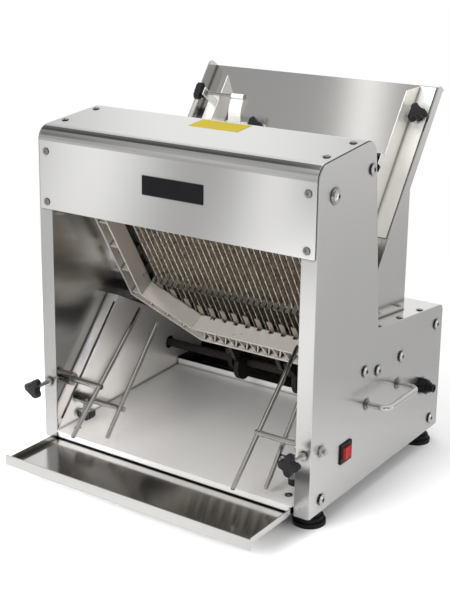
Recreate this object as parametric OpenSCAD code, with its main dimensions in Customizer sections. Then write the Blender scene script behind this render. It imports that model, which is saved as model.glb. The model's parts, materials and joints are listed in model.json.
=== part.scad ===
// Table-top bread slicer: bent steel casing, two opposed blade frames and a sloping chute.
// Inside home() y runs to the rear from the column fronts and z runs up from the panel bottoms.

/* [Casing] */
// Width over the side panels
body_w = 560; // [550:1:590]
// Depth of the side panels at the bottom
body_depth = 473; // [470:1:490]
// Height of the feet under the casing
foot_h = 30; // [22:1:40]
// Radius of a rubber foot
foot_r = 28; // [20:1:32]
// Thickness of the side panels
panel_t = 2; // [1.5:0.1:2.5]
// Thickness of the bent covers
sheet_t = 1.5; // [1:0.1:2]
// Width of the column flanges
column_w = 28; // [24:1:29]
// Height of the side panels at the front, to the unrounded corner
crown_h = 574; // [568:1:590]
// Rise of the hood towards the rear in degrees
crown_slope = 6; // [3:0.5:8]
// Radius of the hood bends
crown_r = 25; // [15:1:32]
// Depth of the tall part at its top
crown_y = 177; // [172:1:182]
// Depth of the tall part at the rear step
step_y = 214; // [208:1:218]
// Height of the rear step at its front
step_front_h = 263; // [258:1:268]
// Height of the rear step at the back
step_rear_h = 238; // [232:1:244]
// Height of the lower edge of the hood
hood_low_h = 431; // [415:1:445]
// How far the hood goes down behind
hood_rear_drop = 44; // [30:1:60]
// Radius of a dome-head bolt
bolt_r = 9; // [7:0.5:10]

/* [Chute] */
// Width over the chute walls
chute_w = 492; // [488:1:500]
// Slope of the chute floor in degrees
chute_angle = 54.5; // [54:0.5:55]
// Height of the top edge of the chute floor over the panel bottoms
chute_top_h = 634; // [630:1:640]
// Thickness of the chute sheet
chute_t = 2; // [1.5:0.1:2.2]
// Height of the left chute wall over the floor
left_wall_h = 28; // [14:1:32]
// Height of the right chute wall over the floor
right_wall_h = 12; // [8:1:24]
// Depth of the folded hem at the top edge
hem_h = 10; // [8:1:16]

/* [Blade frames] */
// Number of blades in both frames together
blade_count = 31; // [23:2:31]
// Distance from blade to blade
blade_pitch = 13; // [12:0.2:13.2]
// Width of a blade
blade_w = 12; // [9:0.5:12]
// Thickness of a blade
blade_t = 0.8; // [0.5:0.1:1.2]
// Lean of the frames to the rear in degrees
blade_lean = 31.4; // [31:0.2:32]
// Clear width of a frame window
window_w = 424; // [422:1:425]
// Width of the frame members
member_w = 28; // [24:1:28]
// Depth of a frame
frame_depth = 36; // [30:1:36]
// Wall thickness of the frame channels
frame_wall = 4; // [3:0.5:5]
// Half of the blade stroke
half_stroke = 10; // [6:1:10]
// Radius of the guide rods
rod_r = 5; // [4:0.5:5.5]

/* [Drive] */
// Radius of the crankshaft
shaft_r = 8; // [6:0.5:8]
// Radius of the driven pulley
driven_r = 48; // [42:1:49]
// Radius of the motor pulley
motor_pulley_r = 22; // [20:1:26]
// Radius of the motor body
motor_r = 46; // [38:1:48]
// Length of the motor body
motor_len = 190; // [160:1:210]

/* [Outfeed] */
// Height of the receiving plate at its front
plate_front_h = 17; // [15:1:19]
// Height of the receiving plate at its rear
plate_rear_h = 33; // [28:1:34]
// How far the crumb tray stands out in front
tray_out = 131; // [126:1:150]
// Height of the crumb tray lip
tray_lip_h = 17; // [12:1:20]
// Radius of the outfeed guide wires
wire_r = 4; // [3:0.5:4.5]
// Radius of the cross rods
cross_r = 5; // [4:0.5:6]
// Radius of the column clamps
clamp_r = 12; // [10:0.5:13]

/* [Infeed guides] */
// Height of the infeed guides
guide_h = 45; // [30:1:46]
// Place of the right infeed guide
right_guide_x = 203; // [196:1:204]
// Place of the left infeed guide
left_guide_x = 177; // [170:1:182]
// Length of the loaf flap
flap_len = 74; // [60:1:78]

/* [Knobs and handles] */
// Radius of the star knobs over the lobes
knob_r = 19; // [16:0.5:20]
// Height of the star knobs
knob_h = 16; // [12:1:18]
// Radius of the knob studs
stud_r = 4; // [3:0.5:4.5]
// Thickness of the handle rod
handle_rod_d = 10; // [8:1:12]
// Distance of the handle rod from the panel
handle_out = 40; // [34:1:46]
// Distance between the handle legs
handle_span = 114; // [100:1:130]
// Width of the switch housing
switch_w = 36; // [30:1:40]
// Height of the switch housing
switch_h = 33; // [28:1:38]

/* [Hidden] */

// Shared values
steel = [0.8, 0.8, 0.82];
cast = [0.7, 0.71, 0.73];
black = [0.08, 0.08, 0.09];
$fn = 48;
over = 1;
run_gap = 0.05;
slide_gap = 0.3;
pivot_gap = 0.5;
half_w = body_w / 2;
inner_x = half_w - panel_t;

// Chute and its top edge
comb_tip_y = 218.231;
comb_tip_z = 252.994;
comb_len = 34;
comb_gap = 3;
comb_lap = 12;
comb_slot_half = 2.2;
comb_slot_end = 4;
comb_trim = 4;
chute_top_y = comb_tip_y + (chute_top_h - comb_tip_z) / tan(chute_angle);
chute_half = chute_w / 2;
comb_tip_s = (chute_top_h - comb_tip_z) / sin(chute_angle);
comb_root_s = comb_tip_s - comb_len;
tongue_len = 42;
wide_len = comb_root_s - tongue_len;
tongue_half = 206;
skirt_clear = 135;
skirt_len = wide_len - skirt_clear;
skirt_h = 6;
chute_corner_r = 12;

// Middle of the depth, for the origin
mid_y = (chute_top_y + hem_h * sin(chute_angle) - tray_out) / 2;

// Side panels
edge_r = 3;
step_r = 13;
step_inner_r = 3;
crown_flange_gap = 35;
crown_flange_end = crown_y - crown_flange_gap;
step_flange_w = 18;
step_flange_gap = 10;
step_flange_start = step_y + step_flange_gap;
cover_drop = 3;
rear_flange_w = 16;

// Hood
hood_gap = 3;
hood_half = half_w - hood_gap;
hood_screw_in = 18;
hood_screw_x = half_w - hood_screw_in;
hood_front_screws = [444, 533];
hood_top_screws = [50, 133];
screw_r = 6;
screw_h = 3;

// Base and feet
base_front_y = 5;
foot_inset_x = 27;
foot_front_y = 48;
foot_rear_in = 31;
foot_rear_y = body_depth - foot_rear_in;
foot_rings = 4;
foot_ring_in = 4;
foot_ring_bevel = 1.2;

// Rear cover
cover_screw_front = 240;
cover_screw_step = 81;
cover_screw_end = 70;
cover_screw_ys = [cover_screw_front, body_depth - cover_screw_end - cover_screw_step,
    body_depth - cover_screw_end];
cover_open_y = 302;
cover_side_gap = 5;
cover_half = inner_x - cover_side_gap;
cover_lip = 14;
cover_front_gap = 8;
cover_screw_in = 14;
vent_w = 5;
vent_len = 60;
vent_pitch = 16;

// Chute support
cheek_gap = 0.5;
cheek_x = chute_half - chute_t - cheek_gap;
support_rear_y = 384;
support_front_y = 222;

// Blade frames: place of the front face and the heights along the blades
frame_y = 92.4;
frame_z = 406.1;
frame_gap = 16;
web_t = 5;
top_in = 92;
top_out = 120;
side_low = 205;
bar_in = 272;
bar_deep = 32;
bar_out = bar_in + bar_deep;
bar_in_half = 120;
bar_out_half = 110;
rib_t = 3.5;
rib_pitch = 61;
rib_first = 21;
zig_step = 12;
zig_t = 2.4;
slant_rib_x = 30;
slant_rib_y = 22;
slant_rib_up = 11;
slant_rib_len = 26;
slant_rib_turn = 54;
blade_plane = frame_depth + frame_gap / 2;
rear_face = frame_depth + frame_gap;
hook_w = 6;
hook_len = 12;
hook_spare = 2;
tab_w = 11;
tab_t = 1.8;
tab_up = 26;
hook_deep = frame_gap - 3;
notch_w = 10;
notch_deep = 7;
blade_top = top_in + 8;
tooth = 15;
tooth_deep = 2;
member_mid = window_w / 2 + member_w / 2;
window_half = window_w / 2;
frame_half = window_half + member_w;
lug_len = 20;
lug_w = 20;
front_lugs = [90, -130];
rear_lugs = [36, -180];
rod_top = 140;
rod_low = 252;
bracket_len = 14;
bracket_h = 12;

// Crank, rods and pulleys, measured in the frame planes
pin_drop = 34;
con_len = 62;
pin_t = bar_out + pin_drop;
crank_t = pin_t + con_len;
ear_w = 8;
ear_r = 12;
wrist_r = 6;
wrist_len = 3.5;
front_rod_x = 60;
rear_rod_x = 86;
con_w = 10;
ecc_r = shaft_r + half_stroke + 2;
strap_r = ecc_r + 7;
eye_r = 10;
con_bar = 13;
shaft_end = inner_x - 6;
bearing_w = 22;
bearing_h = 52;
pulley_x = 217;
pulley_w = 18;
groove_w = 10;
belt_w = 8;
belt_t = 8;
belt_drop = 6;
belt_gap = 0.3;
belt_steps = 24;
crank_y = frame_y + crank_t * sin(blade_lean) + blade_plane * cos(blade_lean);
crank_z = frame_z - crank_t * cos(blade_lean) + blade_plane * sin(blade_lean);
motor_y = 418;
motor_z = 140;
motor_right = 196;
motor_x = motor_right - motor_len;
motor_shaft_r = 7;
motor_shaft_in = 30;
motor_foot_h = 6;
motor_foot_y = 35;
motor_foot_drop = motor_r + motor_foot_h;
bracket_t = 3;
fin_count = 24;
fin_h = 3;
fin_t = 2;
motor_end = 22;

// Receiving plate and guards
guard_in = 30;
guard_x = half_w - guard_in;
guard_flange = 14;
plate_front_y = -4;
plate_rear_y = 366;
plate_lip_low = 6.5;
plate_rear_lip = 12;
plate_half = guard_x - slide_gap;
plate_screw_in = 24;
plate_screw_x = guard_x - plate_screw_in;
plate_screw_y = 26;
guard_top_y = 177;
guard_top_z = 229;
guard_rear_top = 140;
guard_rear_in = 23;
guard_rear_y = body_depth - guard_rear_in;
guard_rear_low = 48;
guard_mid_y = 260;
guard_mid_z = 187;
guard_strip_y = 6;
slit_w = 5;
slit_end = 8;
guard_hole_r = shaft_r + 5;

// Crumb tray
tray_half = guard_x - 1;
tray_lip_half = tray_half + 6;
tray_lip_low = -2;
tray_gap = 0.5;
tray_wall_h = plate_front_h - 2 * sheet_t - tray_gap;
tray_len = 366;
tray_rim = 1.6;
tray_t = 1.5;
plate_lip_half = tray_half - tray_t - 1;

// Outfeed guides: ends of the wires and places of the cross rods
upper_low = [-44, 37];
upper_top = [152, 226];
lower_low = [9, 25];
lower_top = [157, 202];
left_upper_x = 177;
right_upper_x = 162;
left_lower_x = 143;
right_lower_x = 192;
upper_cross = [31, 109];
lower_cross = [52, 67];
stop_r = 9;
stop_h = 6;
stop_tip = 4;
clamp_in = 40;
lower_clamp_r = 10;
lower_clamp_len = 34;
lower_through = 8;
lower_stud_x = guard_x - 21;
upper_stud_x = half_w - 13;
upper_knob_y = -37;
lower_knob_z = 42;
knob_collar_r = 7;
knob_collar_h = 5;
knob_crown = 3;
floor_collar_h = 12;
lock_nut_over = 1;
lock_nut_r = knob_collar_r + lock_nut_over;
lock_nut_h = 5;

// Infeed guides, with s running down the floor from its top edge
right_leg_x = chute_half - 10;
left_leg_x = chute_half - 14;
guide_clear = 92;
guide_low = wide_len - guide_clear;
right_bend_s = 2;
right_tip_s = 35;
left_bend_s = 67;
left_tip_s = 42;
right_knob_s = 64;
right_knob_x = 224;
side_knob_shift = 8.5;
side_knob_s = (right_tip_s + guide_low) / 2 + side_knob_shift;
side_knob_h = 43;
ear_up_h = 58;
ear_half = 11;
left_knob_s = 130;
left_knob_x = 95;
foot_strip_half = 13;
head_r = 8;
head_h = 3;
slot_half = 4.6;
left_travel = 60;
right_travel = 20;
slot_spare = 10;
rod_s = 87;
rod_h = 50;
flap_rod_r = 3;
rod_ear_x = 208;
rod_inner_x = 117;
flap_out_x = 147;
flap_in_x = 119;
flap_t = 1.2;
flap_hub_r = 5;
flap_bow = 60;

// Switch, gland and handles on the right panel
switch_y = 113;
switch_z = 77;
switch_out = 3;
switch_deep = 22;
switch_rim = 4;
switch_in = 6;
switch_floor = 2;
rocker_r = 26;
rocker_back = 2;
rocker_reach = 7;
rocker_dip = 4.6;
gland_rear_in = 76;
gland_y = body_depth - gland_rear_in;
gland_z = 101;
gland_hex_r = 15;
gland_hex_len = 12;
gland_cap_r = 10;
gland_cap_len = 18;
gland_tail_r = 7.5;
gland_tail_len = 8;
gland_bore_r = 4.5;
handle_y = 239;
handle_z = 138;
handle_bend = 14;
handle_foot_r = 9;
handle_foot_h = 2.5;

// Bolts on each side panel as depth and height
bolt_top_in = 27;
bolt_low_in = 32;
bolt_places = [[167, 544], [body_depth - bolt_top_in, 206], [305, 186], [171, 200], [218, 187],
    [body_depth - bolt_low_in, 22], [37, 22]];
big_bolt = [48, 523];
big_bolt_r = bolt_r + 2;

// Points of an outline whose corners are given as [across, up, radius]
function unit(v) = v / norm(v);
function flat(p) = [p[0], p[1]];
function corner_arc(p, c, q, r, steps) = let (
    a = unit(p - c),
    b = unit(q - c),
    half = acos(a * b) / 2,
    centre = c + unit(a + b) * r / sin(half),
    first = c + a * r / tan(half) - centre,
    last = c + b * r / tan(half) - centre,
    start = atan2(first[1], first[0]),
    turn = atan2(first[0] * last[1] - first[1] * last[0], first * last)
) [for (k = [0:steps]) centre + r * [cos(start + turn * k / steps), sin(start + turn * k / steps)]];
function rounded(corners, steps = 8) = let (n = len(corners)) [for (i = [0:n - 1])
    let (p = corners[(i + n - 1) % n], c = corners[i], q = corners[(i + 1) % n])
    each c[2] > 0 ? corner_arc(flat(p), flat(c), flat(q), c[2], steps) : [flat(c)]];

// A convex outline, counter-clockwise, moved inwards by e
function inset(points, e) = let (n = len(points)) [for (i = [0:n - 1]) let (
    a = unit(points[i] - points[(i + n - 1) % n]),
    b = unit(points[(i + 1) % n] - points[i]),
    na = [-a[1], a[0]],
    nb = [-b[1], b[0]]
) points[i] + e * (na + nb) / (1 + na * nb)];

// Frames of reference
module home() translate([0, -mid_y, foot_h]) children();
module blade_place() translate([0, frame_y, frame_z]) rotate([90 + blade_lean, 0, 0]) children();
module chute_place() translate([0, chute_top_y, chute_top_h]) rotate([chute_angle, 0, 0]) children();
module along_x(x0, x1) translate([x0, 0, 0]) rotate([90, 0, 90]) linear_extrude(x1 - x0) children();
module both_sides() {
    children();
    mirror([1, 0, 0]) children();
}
module x_bar(r, x0, x1, y, z) translate([x0, y, z]) rotate([0, 90, 0]) cylinder(r = r, h = x1 - x0);
module box(low, high) translate(low) cube(high - low);

// Round bar between two points of a y-z plane at one x
module plane_bar(r, x, a, b) {
    turn = atan2(b[1] - a[1], b[0] - a[0]);
    length = norm(b - a);
    translate([x, a[0], a[1]]) rotate([turn - 90, 0, 0]) rotate_extrude()
        polygon(rounded([[0, 0, 0], [r, 0, r * 0.8], [r, length, r * 0.8], [0, length, 0]], 4));
}

// Profile lines shared by panels, hood and covers
function crown_at(y, out = 0) = [y, crown_h + y * tan(crown_slope) + out / cos(crown_slope)];
rear_lean = atan((step_y - crown_y) / (crown_at(crown_y)[1] - step_front_h));
function rear_corner(out) = let (
    rise = cos(rear_lean) * tan(crown_slope) + 1 / cos(crown_slope) - sin(rear_lean),
    k = -out * rise / (cos(rear_lean) + sin(rear_lean) * tan(crown_slope))
) rear_point(out, k);
function rear_point(out, down) = crown_at(crown_y) + out * [cos(rear_lean), sin(rear_lean)]
    + down * [sin(rear_lean), -cos(rear_lean)];
function step_at(y) = step_front_h + (y - step_y) * (step_rear_h - step_front_h) / (body_depth - step_y);
function plate_at(y) = plate_front_h
    + (y - plate_front_y) * (plate_rear_h - plate_front_h) / (plate_rear_y - plate_front_y);
function with_r(p, r) = [p[0], p[1], r];
function floor_under(y) = chute_top_h + (y - chute_top_y) * tan(chute_angle)
    - (chute_t + slide_gap) / cos(chute_angle);

// Side panels
module panel_right() {
    outline = rounded([[0, 0, edge_r], [body_depth, 0, edge_r], [body_depth, step_rear_h, step_r],
        [step_y, step_front_h, step_inner_r], with_r(crown_at(crown_y), crown_r),
        with_r(crown_at(0), crown_r)]);
    flange = rounded([[0, 0, 0], with_r(crown_at(0), crown_r), with_r(crown_at(crown_flange_end), 0),
        with_r(crown_at(crown_flange_end, -panel_t), 0),
        with_r(crown_at(panel_t, -panel_t), crown_r - panel_t), [panel_t, 0, 0]]);
    flange_top = -cover_drop - sheet_t;
    step_end = body_depth - step_r;
    difference() {
        union() {
            along_x(inner_x, half_w) polygon(outline);
            difference() {
                along_x(half_w - column_w, inner_x) polygon(flange);
                translate([upper_stud_x, -over, upper_cross[1]]) rotate([-90, 0, 0])
                    cylinder(r = stud_r + slide_gap, h = panel_t + 2 * over);
            }
            along_x(inner_x - step_flange_w, inner_x) polygon([
                [step_flange_start, step_at(step_flange_start) + flange_top - panel_t],
                [step_end, step_at(step_end) + flange_top - panel_t],
                [step_end, step_at(step_end) + flange_top],
                [step_flange_start, step_at(step_flange_start) + flange_top]]);
            box([inner_x - rear_flange_w, body_depth - sheet_t - panel_t, panel_t],
                [inner_x, body_depth - sheet_t, step_rear_h - step_r - panel_t - cover_drop]);
        }
        x_bar(cross_r + slide_gap, inner_x - over, half_w + over, upper_cross[0], upper_cross[1]);
    }
}
module left_side_panel() color(steel) home() mirror([1, 0, 0]) panel_right();
module right_side_panel() color(steel) home() difference() {
    panel_right();
    box([inner_x - over, switch_y - switch_w / 2 + switch_rim, switch_z - switch_h / 2 + switch_rim],
        [half_w + over, switch_y + switch_w / 2 - switch_rim, switch_z + switch_h / 2 - switch_rim]);
}

// Hood over the front flanges and the top
module hood() color(steel) home() difference() {
    along_x(-hood_half, hood_half) polygon(rounded([
        [-sheet_t, hood_low_h, 0], with_r(crown_at(-sheet_t, sheet_t), crown_r + sheet_t),
        with_r(rear_corner(sheet_t), crown_r + sheet_t), with_r(rear_point(sheet_t, hood_rear_drop), 0),
        with_r(rear_point(0, hood_rear_drop), 0), with_r(rear_corner(0), crown_r),
        with_r(crown_at(0), crown_r), [0, hood_low_h, 0]]));
    both_sides() translate([hood_half, 0, hood_low_h]) rotate([90, 0, 0])
        linear_extrude(4 * sheet_t, center = true) difference() {
            square(2 * step_inner_r, center = true);
            translate([-step_inner_r, step_inner_r]) circle(step_inner_r);
        }
}
module pan_head(r, h) intersection() {
    cylinder(r = r, h = h);
    translate([0, 0, h - 2 * r]) sphere(r = 2 * r);
}
module hood_screws() color(steel) home() both_sides() {
    for (z = hood_front_screws) translate([hood_screw_x, -sheet_t, z]) rotate([90, 0, 0])
        pan_head(screw_r, screw_h);
    for (y = hood_top_screws) translate([hood_screw_x, crown_at(y, sheet_t)[0], crown_at(y, sheet_t)[1]])
        rotate([crown_slope, 0, 0]) pan_head(screw_r, screw_h);
}

// Base, feet and rear
module base_plate() color(steel) home()
    box([-inner_x, base_front_y, 0], [inner_x, body_depth - sheet_t - panel_t, panel_t]);
module rubber_feet() color(black) home() both_sides() for (y = [foot_front_y, foot_rear_y])
    translate([half_w - foot_inset_x, y, -foot_h]) rotate_extrude() polygon(concat([[0, 0]],
        [for (k = [0:foot_rings - 1]) let (r = foot_r - k * foot_ring_in, ring_h = foot_h / foot_rings)
            each [[r, k * ring_h], [r, (k + 1) * ring_h - foot_ring_bevel],
                [r - foot_ring_bevel, (k + 1) * ring_h]]], [[0, foot_h]]));
module rear_panel() color(steel) home() difference() {
    box([-inner_x, body_depth - sheet_t, 0],
        [inner_x, body_depth, step_rear_h - step_r - panel_t - cover_drop]);
    for (k = [-4:4]) translate([motor_x + motor_len / 2 + k * vent_pitch, body_depth, motor_z])
        cube([vent_w, 4 * sheet_t, vent_len], center = true);
}
module rear_top_cover() color(steel) home() difference() {
    top = -cover_drop;
    low = -cover_drop - sheet_t;
    front = step_y + cover_front_gap;
    back = body_depth + sheet_t;
    lip_low = step_rear_h - step_r - cover_lip - cover_drop;
    along_x(-cover_half, cover_half) polygon([[front, step_at(front) + low],
        [back - sheet_t, step_at(back - sheet_t) + low], [back - sheet_t, lip_low], [back, lip_low],
        [back, step_at(back) + top], [front, step_at(front) + top]]);
    box([-cheek_x, front - over, 0], [cheek_x, cover_open_y, crown_h]);
}
module cover_screws() color(steel) home() both_sides() for (y = cover_screw_ys)
    translate([half_w - cover_screw_in, y, step_at(y) - cover_drop])
        rotate([-atan((step_front_h - step_rear_h) / (body_depth - step_y)), 0, 0])
            pan_head(screw_r, screw_h);

// Chute with its walls, tongue and clamp slots
module floor_slot(x0, x1, s) {
    box([x0, -s - slot_half, -chute_t - over], [x1, -s + slot_half, over]);
    for (x = [x0, x1]) translate([x, -s, -chute_t - over]) cylinder(r = slot_half, h = chute_t + 2 * over);
}
module chute_wall(wall_h) {
    along_x(chute_half - chute_t, chute_half) polygon(rounded([[-wide_len, -chute_t, 0],
        [-skirt_len, -chute_t, 0], [-skirt_len, -skirt_h, 0], [0, -skirt_h, 0],
        [0, wall_h, min(chute_corner_r, wall_h - 2)], [-wide_len, wall_h, 5]]));
}
module chute() color(steel) home() chute_place() difference() {
    union() {
        box([-chute_half, -wide_len, -chute_t], [chute_half, 0, 0]);
        box([-tongue_half, -comb_root_s, -chute_t], [tongue_half, -wide_len, 0]);
        box([-chute_half, -chute_t, -hem_h], [chute_half, 0, 0]);
        chute_wall(right_wall_h);
        mirror([1, 0, 0]) chute_wall(left_wall_h);
    }
    floor_slot(right_knob_x - right_travel - slot_spare, right_knob_x + slot_spare / 2, right_knob_s);
    floor_slot(-left_knob_x - slot_spare / 2, -left_knob_x + left_travel + slot_spare, left_knob_s);
}

// Comb under the loaf, with one slot for each blade
module chute_comb() color(steel) home() chute_place() difference() {
    reach = (blade_count + 1) / 2 * blade_pitch - comb_trim;
    union() {
        box([-reach, -comb_tip_s, -chute_t], [reach, -comb_root_s, 0]);
        box([-reach, -comb_root_s, -2 * chute_t], [reach, -comb_root_s + comb_lap, -chute_t]);
    }
    for (i = [0:blade_count - 1]) translate([(i - (blade_count - 1) / 2) * blade_pitch, 0, 0])
        box([-comb_slot_half, -comb_tip_s - over, -3 * chute_t],
            [comb_slot_half, -comb_root_s - comb_slot_end, over]);
}
module chute_support() color(steel) home() {
    rear_low = step_at(support_rear_y) - cover_drop;
    front_low = step_at(support_front_y) - cover_drop;
    both_sides() along_x(cheek_x - sheet_t, cheek_x) polygon([[support_front_y, front_low],
        [support_rear_y, rear_low], [support_rear_y, floor_under(support_rear_y)],
        [floor_meet_y, floor_under(floor_meet_y)], [support_front_y, floor_under(floor_meet_y)]]);
    along_x(-cheek_x + sheet_t, cheek_x - sheet_t) polygon([[support_rear_y - sheet_t, rear_low + sheet_t],
        [support_rear_y, rear_low], [support_rear_y, floor_under(support_rear_y)],
        [support_rear_y - sheet_t, floor_under(support_rear_y - sheet_t)]]);
}
floor_meet_y = chute_top_y - (wide_len + slide_gap) * cos(chute_angle);

// Receiving plate and guards
module receiving_plate() color(steel) home() {
    along_x(-plate_half, plate_half) polygon([[plate_front_y, plate_front_h - sheet_t],
        [plate_rear_y, plate_rear_h - sheet_t], [plate_rear_y, plate_rear_h + plate_rear_lip],
        [plate_rear_y - sheet_t, plate_rear_h + plate_rear_lip],
        [plate_rear_y - sheet_t, plate_at(plate_rear_y - sheet_t)], [plate_front_y, plate_front_h]]);
    box([-plate_lip_half, plate_front_y, plate_lip_low],
        [plate_lip_half, plate_front_y + sheet_t, plate_front_h - sheet_t / 2]);
}
module plate_screws() color(steel) home() both_sides()
    translate([plate_screw_x, plate_screw_y, plate_at(plate_screw_y)])
        rotate([atan((plate_rear_h - plate_front_h) / (plate_rear_y - plate_front_y)), 0, 0])
            pan_head(screw_r, screw_h);
guard_slope = (guard_top_z - plate_front_h) / guard_top_y;
module guard_strip() {
    deep = sheet_t * sqrt(1 + guard_slope * guard_slope);
    polygon([[guard_strip_y, plate_front_h + guard_slope * guard_strip_y - deep],
        [guard_strip_y, plate_front_h + guard_slope * guard_strip_y], [guard_top_y, guard_top_z],
        [guard_top_y, guard_top_z - deep]]);
}
module guard_right() {
    foot_low = -2 * sheet_t;
    foot_high = -sheet_t;
    foot_y0 = guard_strip_y;
    foot_y1 = plate_rear_y - 6;
    difference() {
        along_x(guard_x, guard_x + sheet_t) polygon([[0, plate_at(0) + foot_low],
            [0, plate_front_h], [guard_top_y, guard_top_z], [guard_mid_y, guard_mid_z],
            [guard_rear_y, guard_rear_top], [guard_rear_y, guard_rear_low],
            [plate_rear_y, guard_rear_low], [plate_rear_y, plate_at(plate_rear_y) + foot_low]]);
        x_bar(cross_r + slide_gap, guard_x - over, guard_x + 2 * over, lower_cross[0], lower_cross[1]);
        x_bar(guard_hole_r, guard_x - over, guard_x + 2 * over + sheet_t, crank_y, crank_z);
    }
    difference() {
        along_x(guard_x + sheet_t / 2, inner_x) guard_strip();
        box([guard_x, guard_strip_y + slit_end, 0],
            [guard_x + sheet_t + slit_w, guard_top_y - slit_end, guard_top_z]);
    }
    along_x(guard_x - guard_flange, guard_x + sheet_t / 2) polygon([[foot_y0, plate_at(foot_y0) + foot_low],
        [foot_y1, plate_at(foot_y1) + foot_low], [foot_y1, plate_at(foot_y1) + foot_high],
        [foot_y0, plate_at(foot_y0) + foot_high]]);
}
module left_guard() color(steel) home() mirror([1, 0, 0]) guard_right();
module right_guard() color(steel) home() guard_right();

// Outside fittings
module side_bolts() color(steel) home() both_sides() {
    for (p = bolt_places) translate([half_w, p[0], p[1]]) rotate([0, 90, 0]) pan_head(bolt_r, bolt_r * 0.6);
    translate([half_w, big_bolt[0], big_bolt[1]]) rotate([0, 90, 0]) {
        cylinder(r = big_bolt_r + 2, h = sheet_t);
        translate([0, 0, sheet_t]) pan_head(big_bolt_r, big_bolt_r * 0.6);
    }
}
module handle_right() {
    r = handle_rod_d / 2;
    reach = handle_span / 2;
    translate([half_w, handle_y, handle_z]) {
        for (side = [-1, 1]) {
            translate([0, side * reach, 0]) rotate([0, 90, 0]) {
                cylinder(r = handle_foot_r, h = handle_foot_h);
                cylinder(r = r, h = handle_out - handle_bend);
            }
            translate([handle_out - handle_bend, side * (reach - handle_bend), 0]) scale([1, side, 1])
                rotate_extrude(angle = 90) translate([handle_bend, 0]) circle(r);
        }
        translate([handle_out, -reach + handle_bend, 0]) rotate([-90, 0, 0])
            cylinder(r = r, h = handle_span - 2 * handle_bend);
    }
}
module left_handle() color(steel) home() mirror([1, 0, 0]) handle_right();
module right_handle() color(steel) home() handle_right();
module cable_gland() color(black) home() translate([half_w, gland_y, gland_z]) rotate([0, 90, 0])
    difference() {
        union() {
            cylinder(r = gland_hex_r, h = gland_hex_len, $fn = 6);
            cylinder(r = gland_cap_r, h = gland_cap_len);
            cylinder(r = gland_tail_r, h = gland_cap_len + gland_tail_len);
        }
        translate([0, 0, over]) cylinder(r = gland_bore_r, h = gland_cap_len + gland_tail_len);
    }
module switch_housing() color(black) home() difference() {
    w = switch_w / 2;
    h = switch_h / 2;
    union() {
        box([half_w, switch_y - w, switch_z - h], [half_w + switch_out, switch_y + w, switch_z + h]);
        box([half_w - switch_deep, switch_y - w + switch_rim + slide_gap,
                switch_z - h + switch_rim + slide_gap],
            [half_w, switch_y + w - switch_rim - slide_gap, switch_z + h - switch_rim - slide_gap]);
    }
    box([half_w - switch_deep + switch_floor, switch_y - w + switch_in, switch_z - h + switch_in],
        [half_w + switch_out + over, switch_y + w - switch_in, switch_z + h - switch_in]);
}
module switch_rocker() color([0.75, 0.08, 0.08]) home() {
    w = switch_w / 2 - switch_in - pivot_gap;
    h = switch_h / 2 - switch_in - slide_gap;
    translate([half_w + switch_out - rocker_back, switch_y, switch_z]) intersection() {
        cube([2 * rocker_reach, 2 * w, 2 * h], center = true);
        difference() {
            cylinder(r = w, h = 2 * h, center = true);
            translate([rocker_r + rocker_dip, 0, 0]) cylinder(r = rocker_r, h = 4 * h, center = true);
        }
    }
}

// Guide rods and brackets for both frames
module guide_rods() color(steel) home() blade_place() both_sides()
    translate([member_mid, -rod_low, -blade_plane]) rotate([-90, 0, 0])
        cylinder(r = rod_r, h = rod_low + rod_top);
module rod_brackets() color(cast) home() blade_place() both_sides() difference() {
    for (y = [rod_top - bracket_len, -rod_low])
        box([member_mid - rod_r - 4, y, -blade_plane - bracket_h / 2 - 1],
            [inner_x, y + bracket_len, -blade_plane + bracket_h / 2 + 1]);
    translate([member_mid, -rod_low - over, -blade_plane]) rotate([-90, 0, 0])
        cylinder(r = rod_r, h = rod_low + rod_top + 2 * over);
}

// Blade frame: a ribbed channel ring in the x-y plane, open towards +z
outer_ring = [[-frame_half, top_out], [-frame_half, -side_low - 6], [-bar_out_half, -bar_out],
    [bar_out_half, -bar_out], [frame_half, -side_low - 6], [frame_half, top_out]];
inner_ring = [[-window_half, top_in], [-window_half, -side_low], [-bar_in_half, -bar_in],
    [bar_in_half, -bar_in], [window_half, -side_low], [window_half, top_in]];
module ring_plan(wall) difference() {
    polygon(inset(outer_ring, wall));
    polygon(inset(inner_ring, -wall));
}
module frame_ribs() {
    for (k = [-2:3]) let (y = -rib_first - k * rib_pitch) if (y < top_in && y > -side_low) both_sides()
        translate([member_mid, y]) square([member_w - frame_wall, rib_t], center = true);
    for (k = [0:2 * bar_out_half / zig_step - 2]) let (tilt = k % 2 == 0 ? 1 : -1)
        translate([-bar_out_half + zig_step + k * zig_step, -(bar_in + bar_out) / 2])
            rotate(tilt * atan(bar_deep / zig_step)) square([bar_deep, zig_t], center = true);
    for (k = [1:3]) both_sides()
        translate([bar_out_half + k * slant_rib_x, -bar_out + slant_rib_up + k * slant_rib_y])
            rotate(-slant_rib_turn) square([slant_rib_len, rib_t], center = true);
}
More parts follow.
